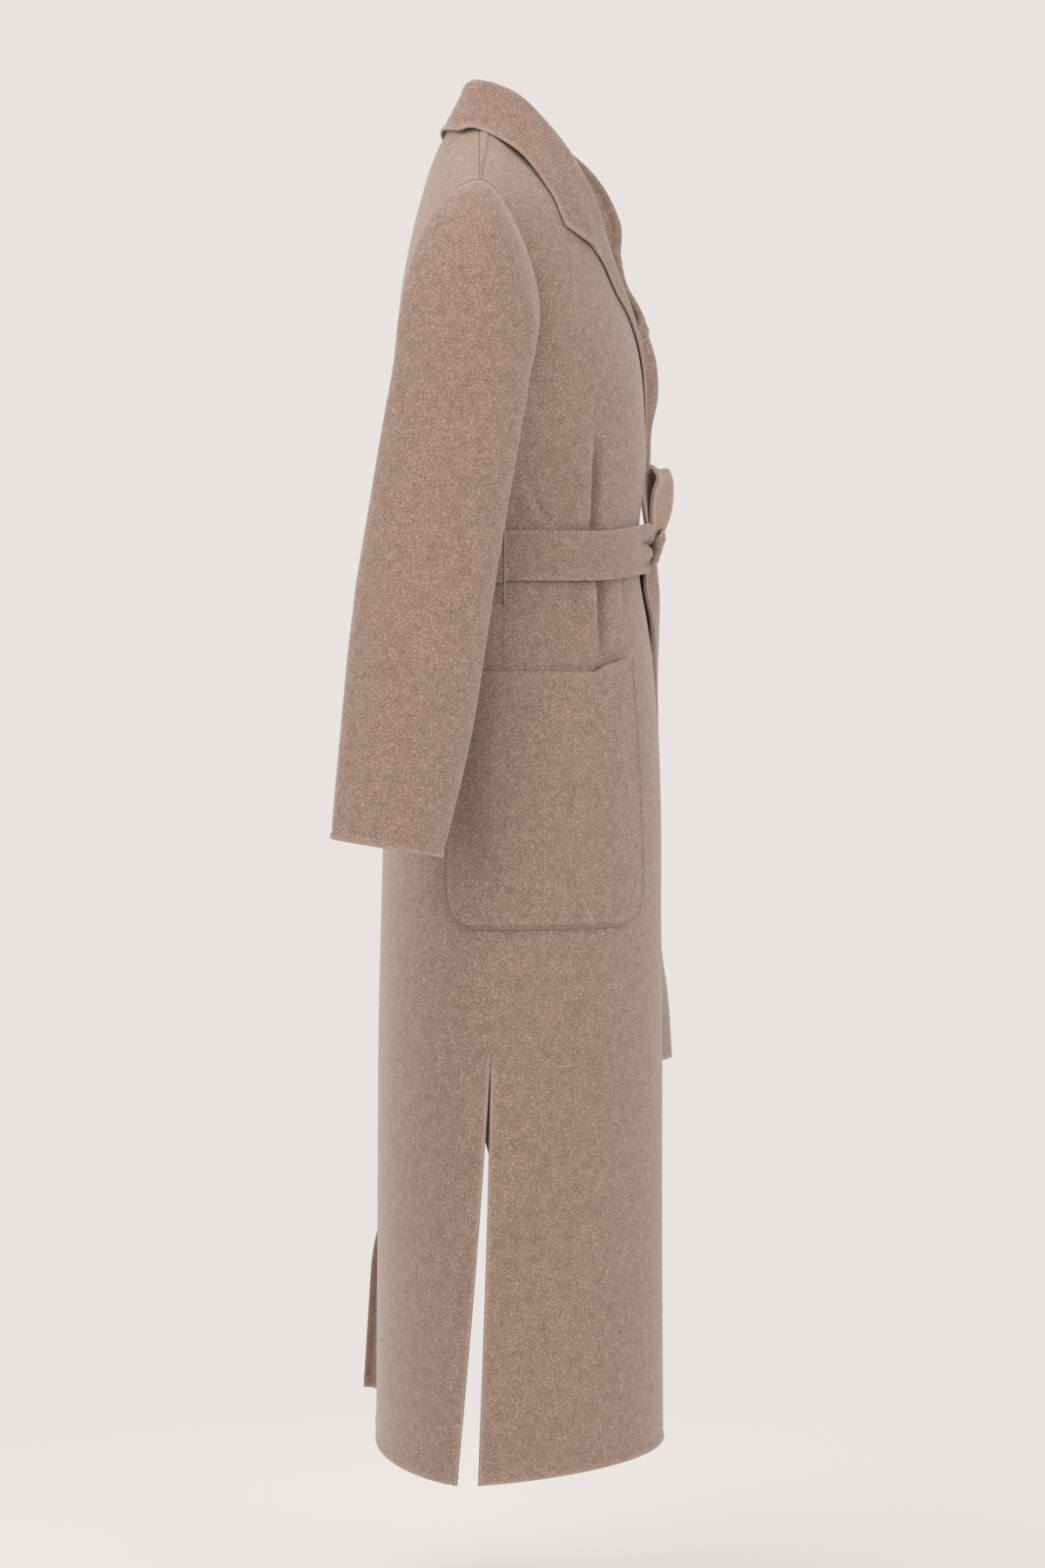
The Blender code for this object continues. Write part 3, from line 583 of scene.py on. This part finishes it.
def make_sleeve(name, side):
    """Rings from the armhole to the cuff, each an ellipse between an outer and an inner point with
    its front half drawn in like the armhole, joined by smooth curves down the arm. The folds and
    the cuff's felled edge are heights over that face; the armhole seam lies in a slight dip."""
    turn = np.linspace(-180, 180, 105)
    c, s = np.cos(np.radians(turn))[None, :], np.sin(np.radians(turn))[None, :]
    ring = {key: column[:, None] for key, column in SLEEVE.items()}
    x = mix(ring["in_x"], ring["out_x"], (1 + c) / 2)
    front_depth = ring["front_depth"] * (1 - ring["egg"] * c)
    y = ring["mid_y"] - s * np.where(s > 0, front_depth, ring["back_depth"])
    z = mix(ring["in_z"], ring["out_z"], (1 + c) / 2) - ring["drop"] * s
    top = np.stack(armhole(turn), axis=-1) - (SEAM_LAP, 0, 0)
    rings = np.concatenate([top[None], np.stack([x, y, z], axis=-1)])
    knots = run(rings).mean(axis=1)
    points = through(rings, spread(knots[-1], 0.0046) * knots[-1], knots)
    down = run(points)
    from_cuff = down[-1:] - down
    height = felled(from_cuff) - 0.0004 * hump(down, 0.003)
    outer = ease(0.5 + c * 1.5)
    for crease in SLEEVE_FOLDS:
        height = height + outer * fold(points, [1, 2], *crease)
    points = points + outward(points) * height[..., None]
    points[:, -1] = points[:, 0]
    # Edge values: painted shade along the armhole seam, stronger behind than in front, and a painted
    # highlight along the cuff.
    seam = mix(0.6, 0.2, ease(0.5 + s)) * hump(down, 0.0042)
    edge = hump(from_cuff, EDGE_REACH) - seam
    piece = cloth(name, [(points * (side, 1, 1), edge)], turned=side == RIGHT)


make_sleeve("sleeve_right", RIGHT)
make_sleeve("sleeve_left", LEFT)

# Collar. One strip sewn to the neckline, folded along its roll: the stand goes up inside, the
# fall comes down outside and ends in two points, over the tops of the lapels.
COLLAR = table(
    "on_front seam_at roll_x roll_y roll_z edge_x edge_y edge_z bulge notch left",
    (0, 90, 0.000, 0.0500, 0.0660, 0.000, 0.0775, 0.0230, -0.0005, 0.000, 0.000),
    (0, 77, 0.030, 0.0478, 0.0648, 0.038, 0.0737, 0.0205, -0.0005, 0.000, 0.000),
    (0, 66, 0.053, 0.0385, 0.0605, 0.068, 0.0600, 0.0142, -0.0010, 0.000, 0.000),
    (1, 0.02, 0.064, 0.0230, 0.0540, 0.088, 0.0420, 0.0120, -0.0010, 0.000, 0.000),
    (1, 1.0, 0.071, 0.0000, 0.0395, 0.111, 0.0032, -0.0136, 0.0000, 0.000, 0.012),
    (1, 2.0, 0.076, -0.0360, -0.0020, 0.133, -0.0250, -0.0538, 0.0020, 0.000, 0.029),
    (1, 2.55, 0.073, -0.0625, -0.0475, 0.1433, -0.0353, -0.0778, 0.0050, 0.004, 0.028),
    (1, 3.0, 0.0584, -0.0747, -0.0831, 0.1465, -0.0390, -0.0880, 0.0090, 0.0235, 0.0168),
)
COLLAR_ROLL = 0.0040


def collar_half(side):
    """Stations from the middle of the back to the gorge; at each a profile from the seam up the
    stand, over the roll and down the fall. The end of the fall dips to the notch; the left half
    stands further forward."""
    on_front = COLLAR["on_front"] > 0
    seam = np.where(
        on_front[:, None],
        front(np.where(on_front, COLLAR["seam_at"], 1.0), 1.0, side) * (side, 1, 1),
        body(-0.02, np.where(on_front, 90.0, COLLAR["seam_at"])),
    )

    def stations(part):
        """This part's points in the table."""
        return np.stack([COLLAR[part + axis] for axis in ("_x", "_y", "_z")], axis=-1)

    roll, fall = stations("roll"), stations("edge")
    if side == LEFT:
        ahead = COLLAR["left"][:, None] * (0, 1, 0)
        roll, fall = roll - ahead, fall - 0.3 * ahead
    along = np.gradient(roll, axis=0)
    out = unit(np.cross(roll - mix(seam, fall, 0.5), along))
    up = unit(np.cross(along, out))
    inside = ease((COLLAR["seam_at"] * on_front - 0.5) / 1.5)[:, None]
    seam = seam - mix(0.5, 1.75, inside) * CLOTH * out + mix(1.1, -0.6, inside) * CLOTH * up
    inner, outer = roll - COLLAR_ROLL * out, roll + COLLAR_ROLL * out
    over = [inner + 0.55 * COLLAR_ROLL * up + 0.25 * COLLAR_ROLL * out, roll + 0.85 * COLLAR_ROLL * up]
    over.append(outer + 0.55 * COLLAR_ROLL * up - 0.25 * COLLAR_ROLL * out)
    profile = [seam, mix(seam, inner, 0.5), inner, *over, outer]
    for share in (0.25, 0.5, 0.75, 1.0):
        bulge = COLLAR["bulge"][:, None] * np.sin(np.pi * share) * out
        dip = COLLAR["notch"][:, None] * ((1 - share) / 0.75) ** 0.8 * (0, 0, 1)
        profile.append(mix(outer, fall, share) + bulge - dip)
    profiles = np.array(profile).swapaxes(0, 1)
    profiles = np.concatenate([profiles[1:2] * (-1, 1, 1), profiles])
    return through(profiles, np.linspace(1, len(roll), 85)) * (side, 1, 1)


def whole_collar():
    """The right half from its gorge, then the left half to its gorge, with rows down the profile,
    and felled edges as heights over the fall."""
    whole = np.concatenate([collar_half(RIGHT)[:0:-1], collar_half(LEFT)]).swapaxes(0, 1)
    knots = run(whole).mean(axis=1)
    points = through(whole, spread(knots[-1], 0.0026) * knots[-1], knots)
    across, down = measured(points)
    from_edge = np.minimum(down[-1:] - down, np.minimum(across, across[:, -1:] - across))
    points = points + outward(points) * (felled(from_edge) * ease((down - 0.06) / 0.02))[..., None]
    # Edge values: a painted highlight along the collar's edges, and painted shade that makes the whole
    # collar a little darker.
    return points, hump(from_edge, EDGE_REACH) - 0.15


collar = cloth("collar", [whole_collar()], place=0.0)

# Pockets. Large patches with round lower corners, each laid across its side seam and felled down
# all round but at the mouth, which is turned in and gapes a little at the front.
POCKET_BACK, POCKET_FRONT, POCKET_LEAN = 24, 54, 5
POCKET_WIDTH, POCKET_HEIGHT, POCKET_CORNER, POCKET_LIFT = 0.210, 0.230, 0.035, 0.0007


def make_pocket(name, side):
    """A patch made from the panels' own points, moved out: across, angles from behind the side
    seam to before it; down, the pocket's levels. At each lower corner the square of the grid is
    drawn in to a quarter circle. The mouth rises in front, with a kink under the pleat."""
    share = 2 * spread(POCKET_WIDTH, 0.0042)[None, :] - 1
    down = spread(POCKET_HEIGHT, 0.0042)[:, None]
    half = POCKET_WIDTH / 2
    a = np.clip(1 - (1 - np.abs(share)) * half / POCKET_CORNER, 0, 1)
    b = np.clip(1 - (1 - down) * POCKET_HEIGHT / POCKET_CORNER, 0, 1)
    share = share - np.sign(share) * a * (1 - np.sqrt(1 - b * b / 2)) * POCKET_CORNER / half
    down = down - b * (1 - np.sqrt(1 - a * a / 2)) * POCKET_CORNER / POCKET_HEIGHT
    angle = (POCKET_FRONT - POCKET_BACK) / 2 + (POCKET_FRONT + POCKET_BACK) / 2 * share
    angle = angle + POCKET_LEAN * down * (1 + share) / 2
    level = mix(POCKET_TOP, POCKET_LOW, down)
    points = np.where((angle >= 0)[..., None], body(level, np.abs(angle)), body(-level, np.abs(angle)))
    rise = 0.0060 * ease((share - 0.44) / 0.16) + 0.0095 * ease((share - 0.5) / 0.5)
    points[..., 2] += rise * (1 - down) ** 3
    normal = outward(points)
    across, below = measured(points)
    from_side, from_low = np.minimum(across, across[:, -1:] - across), below[-1:] - below
    from_edge = np.minimum(from_side, from_low)
    full = 0.0010 * ease(from_edge / 0.05) * ease((1 - down) / 0.6)
    gape = 0.003 * hump(below, 0.025) * hump(share - 0.35, 0.3)
    mouth = 0.0006 * hump(below, 0.012)
    from_rim = np.minimum(from_edge, below)
    height = POCKET_LIFT + full + gape + felled(from_rim) + mouth
    points = points + normal * height[..., None]
    # Edge values: a painted highlight on the felled ridge just inside the edges and mouth, and a painted
    # shadow line along the sewn sides and bottom.
    edge = 0.25 * hump(from_rim - 0.005, EDGE_REACH) - 0.8 * hump(from_edge - 0.0025, 0.0018)
    piece = cloth(name, [(points * (side, 1, 1), edge)], place=1.0, turned=side == RIGHT)


make_pocket("pocket_right", RIGHT)
make_pocket("pocket_left", LEFT)

# Belt. A long strip of the same wool, two layers sewn together, round the waist through two
# thread carriers. It is gathered where it goes into the knot, at the front.
BELT_THICK, BELT_EASE, BELT_WIDTH, BELT_SOFT = 0.0040, 0.0022, 0.046, 0.17
KNOT_X, KNOT_Y, GATHER_REACH = 0.008, -0.114, 0.070
GATHER = table(
    "across height",
    (0, 0.0060),
    (0.08, 0.0085),
    (0.34, -0.0018),
    (0.62, 0.0075),
    (0.80, 0.0010),
    (1, 0.0055),
)


def waist(level):
    """The body's outer face all round at this level, from the right side seam forwards."""
    arcs = (
        body(level, np.linspace(0, 115, 90)) * (-1, 1, 1),
        body(level, np.linspace(58, 3, 45)),
        body(-level, np.linspace(0, 90, 70)),
        body(-level, np.linspace(88, 1, 70)) * (-1, 1, 1),
    )
    return np.concatenate(arcs)


def make_belt():
    """Two rings of the waist, at the belt's upper and lower edges, with points between them. Near
    the knot the strip narrows and folds: its edges and its middle come forward from two hollows."""
    top, low = waist(BELT_TOP + 0.01), waist(BELT_LOW - 0.01)
    middle = (top + low) / 2
    length = run(middle)
    total = length[-1] + np.linalg.norm(middle[-1] - middle[0])
    place = np.linspace(0, total, 361)

    def resampled(ring):
        """The closed ring, in points at the same lengths of its middle line."""
        ring, at = np.concatenate([ring, ring[:1]]), np.append(length, total)
        return np.stack([np.interp(place, at, ring[:, axis]) for axis in range(3)], axis=-1)

    top, low = resampled(top), resampled(low)
    middle = (top + low) / 2
    along = np.roll(middle, -1, axis=0) - np.roll(middle, 1, axis=0)
    along[[0, -1]] = middle[1] - middle[-2]
    out = unit(np.cross([0, 0, 1.0], along))
    out = out * np.sign((out * (middle - middle.mean(axis=0))).sum(axis=-1, keepdims=True))
    knot_at = place[np.argmin(np.hypot(middle[:, 0] - KNOT_X, middle[:, 1] - KNOT_Y))]
    gather = ease(1.25 - np.abs(place - knot_at) / GATHER_REACH)
    t = spread(BELT_WIDTH, 0.0030)[:, None]
    wide = 1 - 0.55 * hump(place - knot_at, 0.018)
    points = middle[None] + ((t - 0.5) * wide)[..., None] * (low - top)[None]
    wave = 0.0006 * np.sin(place * 61) * np.sin(np.pi * t) + 0.0008 * np.sin(place * 37 + 1)
    folds = through(GATHER["height"], t, GATHER["across"])
    stand = BELT_EASE + gather * folds
    points = points + stand[..., None] * out[None]
    points[..., 2] += wave
    down = run(points)
    from_edge = np.minimum(down, down[-1:] - down)
    points = points + (0.5 * felled(from_edge))[..., None] * out[None]
    points[:, -1] = points[:, 0]
    # Edge values: a painted highlight along the belt's edges, painted shade over the whole belt, and
    # deeper painted shade in the gathered hollows by the knot.
    hollow = gather * ease((0.004 - folds) / 0.003)
    return points, 0.3 * hump(from_edge, EDGE_REACH) - 0.1 - 0.8 * hollow


belt = cloth("belt", [make_belt()], thick=BELT_THICK, place=1.0, turned=True, soft=BELT_SOFT)

# Knot, bow loop and ends. The belt is tied in a half bow: a turn of it over the front, one loop
# standing up, and two ends that hang down, the longer one in front of the right front's edge.
BAND = "x y z across_x across_y width"
KNOT_LENGTH, KNOT_THICK = 0.044, 0.0030


def band(path, step, cup, pale=0.0):
    """A strip of belt along a path, in rows a step apart, as wide as the path's table says, in the
    direction across that the table gives; cup bends its edges away from the middle. Its edges get a
    painted highlight, and pale paints the whole strip lighter, as painted light, or darker, as painted
    shade."""
    middle = np.stack([path["x"], path["y"], path["z"]], axis=-1)
    knots = run(middle)
    place = spread(knots[-1], step) * knots[-1]
    side = np.stack([path["across_x"], path["across_y"], 0 * path["x"]], axis=-1)
    side = unit(through(side, place, knots))
    width = through(path["width"], place, knots)[:, None, None]
    middle = through(middle, place, knots)
    out = unit(np.cross(side, np.gradient(middle, axis=0)))
    t = spread(BELT_WIDTH, 0.0030)[None, :, None] - 0.5
    points = middle[:, None] + t * width * side[:, None] + cup * (4 * t * t - 0.5) * out[:, None]
    across, down = measured(points)
    from_edge = np.minimum(np.minimum(across, across[:, -1:] - across), down[-1:] - down)
    return points, hump(from_edge, EDGE_REACH) + pale


def tied_knot():
    """A flat tube of cloth on a steep axis, drawn in at both ends, with ripples that wind round it
    and ends cut on the slant."""
    turn = np.linspace(0, 2 * np.pi, 81)[None, :]
    t = 2 * spread(KNOT_LENGTH, 0.0026)[:, None] - 1
    full = 1 - 0.30 * np.abs(t) ** 3 + 0.07 * np.sin(2 * turn + 4.5 * t) + 0.05 * np.sin(turn - 9 * t)
    x = 0.010 + 0.0150 * full * np.cos(turn)
    y = -0.1285 + 0.0075 * full * np.sin(turn) + 0.0035 * t
    z = -0.3725 - 0.0162 * t + 0.0045 * np.cos(turn + 0.6)
    points = np.stack([x, y, z], axis=-1)
    points[:, -1] = points[:, 0]
    down = run(points)
    # Edge values: a painted highlight along both ends of the knot.
    return points, hump(np.minimum(down, down[-1:] - down), EDGE_REACH)


knot = cloth("belt_knot", [tied_knot()], thick=KNOT_THICK, turned=True, soft=0.2)

bow_path = table(
    BAND,
    (0.006, -0.1280, -0.3620, 0.90, -0.40, 0.024),
    (0.005, -0.1315, -0.3420, 0.85, -0.55, 0.034),
    (0.003, -0.1340, -0.3200, 0.88, -0.46, 0.042),
    (0.002, -0.1355, -0.3060, 0.94, -0.33, 0.045),
    (0.001, -0.1305, -0.2975, 0.92, -0.38, 0.046),
    (0.001, -0.1235, -0.3030, 0.88, -0.42, 0.044),
    (0.002, -0.1215, -0.3180, 0.90, -0.38, 0.040),
    (0.004, -0.1215, -0.3380, 0.93, -0.26, 0.032),
    (0.006, -0.1240, -0.3600, 0.93, -0.26, 0.024),
)
# The bow's colour is painted paler, as painted light on a part that faces the light.
bow_strip = band(bow_path, step=0.0030, cup=0.0025, pale=0.6)
bow = cloth("belt_bow", [bow_strip], thick=BELT_THICK, place=0.0, soft=BELT_SOFT)

long_path = table(
    BAND,
    (0.012, -0.1240, -0.3780, 0.84, -0.36, 0.018),
    (0.014, -0.1245, -0.4060, 0.86, -0.36, 0.034),
    (0.022, -0.1283, -0.4400, 0.90, -0.16, 0.044),
    (0.041, -0.1290, -0.5000, 1.00, -0.02, 0.046),
    (0.063, -0.1276, -0.5650, 1.00, 0.16, 0.046),
    (0.071, -0.1284, -0.6450, 1.00, 0.16, 0.046),
    (0.073, -0.1307, -0.7300, 1.00, 0.08, 0.046),
    (0.073, -0.1380, -0.8000, 1.00, -0.15, 0.046),
    (0.073, -0.1397, -0.8700, 1.00, -0.32, 0.046),
)
# The long end's colour is painted darker, as painted shade on a part turned away from the light.
long_strip = band(long_path, step=0.005, cup=0.0012, pale=-0.3)
long_end = cloth("belt_end_long", [long_strip], thick=BELT_THICK, place=0.0, soft=BELT_SOFT)

short_path = table(
    BAND,
    (0.040, -0.1200, -0.3800, 0.90, 0.15, 0.030),
    (0.050, -0.1185, -0.4000, 0.90, 0.18, 0.038),
    (0.070, -0.1190, -0.4400, 0.90, 0.24, 0.045),
    (0.103, -0.1185, -0.5200, 1.00, 0.36, 0.046),
    (0.120, -0.1195, -0.6200, 1.00, 0.42, 0.046),
    (0.128, -0.1175, -0.7300, 1.00, 0.46, 0.046),
)
short_strip = band(short_path, step=0.005, cup=0.0010)
short_end = cloth("belt_end_short", [short_strip], thick=BELT_THICK, place=0.0, soft=BELT_SOFT)

# Thread carriers. A loop of twisted buttonhole thread at each side seam, made by hand, that the
# belt runs through.
THREAD = 0.0008
THREAD_RINGS, THREAD_SIDES = 60, 11


def twisted_thread():
    """Pale brown thread: two plies that wind round it, as bands slanted along its map."""
    material = bpy.data.materials.new("thread")
    material.use_nodes = True
    nodes, link = material.node_tree.nodes, material.node_tree.links.new
    shader = nodes["Principled BSDF"]
    on_thread = nodes.new("ShaderNodeUVMap")
    on_thread.uv_map = "thread"
    wind = nodes.new("ShaderNodeTexWave")
    wind.bands_direction = "DIAGONAL"
    wind.inputs["Scale"].default_value = 260
    link(on_thread.outputs["UV"], wind.inputs["Vector"])
    ply = nodes.new("ShaderNodeValToRGB")
    ply.color_ramp.elements[0].color = (0.20, 0.140, 0.108, 1)
    ply.color_ramp.elements[1].color = (0.42, 0.325, 0.265, 1)
    link(wind.outputs["Fac"], ply.inputs["Fac"])
    link(ply.outputs["Color"], shader.inputs["Base Color"])
    shader.inputs["Roughness"].default_value = 0.7
    return material


thread = twisted_thread()


def make_carrier(name, side):
    """A round thread along a path over the belt, from the seam above it to the seam below."""
    top, low = body(BELT_TOP, 0.0), body(BELT_LOW, 0.0)
    over, near = BELT_EASE + BELT_THICK + THREAD + 0.0006, 0.0016
    path = np.array(
        [
            top + (near - 0.001, 0, 0.010),
            top + (near + 0.001, 0, 0.006),
            top + (over, 0, 0.003),
            top + (over, 0, 0),
            low + (over, 0, 0),
            low + (over + 0.0016, 0, -0.008),
            low + (near + 0.005, 0, -0.016),
            low + (near + 0.006, 0, -0.021),
        ]
    )
    knots = run(path)
    place = np.linspace(0, knots[-1], THREAD_RINGS)
    middle = through(path, place, knots)
    turn = np.linspace(0, 2 * np.pi, THREAD_SIDES)[None, :, None]
    along = unit(np.gradient(middle, axis=0))
    out = np.cross(along, [0, 1.0, 0])
    ring = THREAD * (np.cos(turn) * out[:, None] + np.sin(turn) * np.array([0, 1.0, 0]))
    points = middle[:, None] + ring
    points[:, -1] = points[:, 0]
    mesh = bpy.data.meshes.new(name)
    index = np.arange(THREAD_RINGS * THREAD_SIDES).reshape(THREAD_RINGS, THREAD_SIDES)
    quads = grid_quads(THREAD_RINGS, THREAD_SIDES)
    quads = quads if side == RIGHT else quads[:, ::-1]
    caps = [index[0, :-1].tolist(), index[-1, -2::-1].tolist()]
    caps = caps if side == LEFT else [cap[::-1] for cap in caps]
    mesh.from_pydata((points * (side, 1, 1)).reshape(-1, 3).tolist(), [], quads.tolist() + caps)
    layer = mesh.uv_layers.new(name="thread")
    around = np.stack(np.broadcast_arrays(turn[..., 0] * THREAD, place[:, None]), axis=-1).reshape(-1, 2)
    corners = np.empty(len(mesh.loops), np.int32)
    mesh.loops.foreach_get("vertex_index", corners)
    layer.data.foreach_set("uv", around[corners].astype(np.float32).ravel())
    mesh.polygons.foreach_set("use_smooth", np.ones(len(mesh.polygons), bool))
    mesh.materials.append(thread)
    piece = bpy.data.objects.new(name + "_thread", mesh)
    bpy.context.scene.collection.objects.link(piece)
    weld = piece.modifiers.new("joined", "WELD")
    weld.merge_threshold = ONE_PLACE
    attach(piece, "root")
    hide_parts(name)


make_carrier("carrier_right", RIGHT)
make_carrier("carrier_left", LEFT)

# Studio. A pale floor under the hem that fades into an even pale surround, a broad light from
# above, one from each end of the view, and the camera level with the hips, square to the right side.
SURROUND = (0.799, 0.768, 0.745)
FLOOR_HALF, FLOOR_DROP = 2.0, 1.40
scene = bpy.context.scene
scene.view_settings.view_transform = "Standard"
world = bpy.data.worlds.new("surround")
world.use_nodes = True
world.node_tree.nodes["Background"].inputs["Color"].default_value = (*SURROUND, 1)
world.node_tree.nodes["Background"].inputs["Strength"].default_value = 1.0
scene.world = world


def pale_floor():
    """Matt pale floor, lit from below too so that it stays as even as the surround; it thins out to
    nothing between 0.5 and 1.3 m from its middle."""
    material = bpy.data.materials.new("floor")
    material.use_nodes = True
    nodes, link = material.node_tree.nodes, material.node_tree.links.new
    shader = nodes["Principled BSDF"]
    shader.inputs["Base Color"].default_value = (0.27, 0.262, 0.256, 1)
    shader.inputs["Emission Color"].default_value = (*SURROUND, 1)
    shader.inputs["Emission Strength"].default_value = 0.66
    shader.inputs["Roughness"].default_value = 1.0
    shader.inputs["Specular IOR Level"].default_value = 0.0
    where = nodes.new("ShaderNodeTexCoord")
    level = nodes.new("ShaderNodeVectorMath")
    level.operation = "MULTIPLY"
    level.inputs[1].default_value = (1, 1, 0)
    link(where.outputs["Object"], level.inputs[0])
    away = nodes.new("ShaderNodeVectorMath")
    away.operation = "LENGTH"
    link(level.outputs["Vector"], away.inputs[0])
    thin = nodes.new("ShaderNodeMapRange")
    thin.interpolation_type = "SMOOTHSTEP"
    thin.inputs["From Min"].default_value = 0.5
    thin.inputs["From Max"].default_value = 1.3
    thin.inputs["To Min"].default_value = 1.0
    thin.inputs["To Max"].default_value = 0.0
    link(away.outputs["Value"], thin.inputs["Value"])
    link(thin.outputs["Result"], shader.inputs["Alpha"])
    return material


mesh = bpy.data.meshes.new("floor")
corners = FLOOR_HALF * np.array([(-1, -1, 0), (1, -1, 0), (1, 1, 0), (-1, 1, 0)]) - (0, 0, FLOOR_DROP)
mesh.from_pydata(corners.tolist(), [], [(0, 1, 2, 3)])
mesh.materials.append(pale_floor())
floor = bpy.data.objects.new("floor", mesh)
scene.collection.objects.link(floor)


def area_light(name, place, target, size, power):
    """A square soft light at this place, turned to its target."""
    light = bpy.data.lights.new(name, "AREA")
    light.shape, light.size, light.energy = "SQUARE", size, power
    lamp = bpy.data.objects.new(name, light)
    scene.collection.objects.link(lamp)
    lamp.location = place
    lamp.rotation_euler = (Vector(target) - lamp.location).to_track_quat("-Z", "Y").to_euler()


area_light("overhead", (-0.4, 1.2, 2.1), (0, 0, -0.2), 1.8, 40)
area_light("from_behind", (-1.8, 2.4, 0.2), (0, 0, -0.7), 1.8, 23)
area_light("from_front", (-2.6, -2.4, -0.1), (0, 0, -0.7), 2.2, 56)

view = bpy.data.cameras.new("view")
view.sensor_fit, view.sensor_height, view.lens = "VERTICAL", 36, 78.64
camera = bpy.data.objects.new("view", view)
camera.location = (-3.29, 0, -0.60)
camera.rotation_euler = (np.pi / 2, 0, -np.pi / 2)
scene.collection.objects.link(camera)
scene.camera = camera
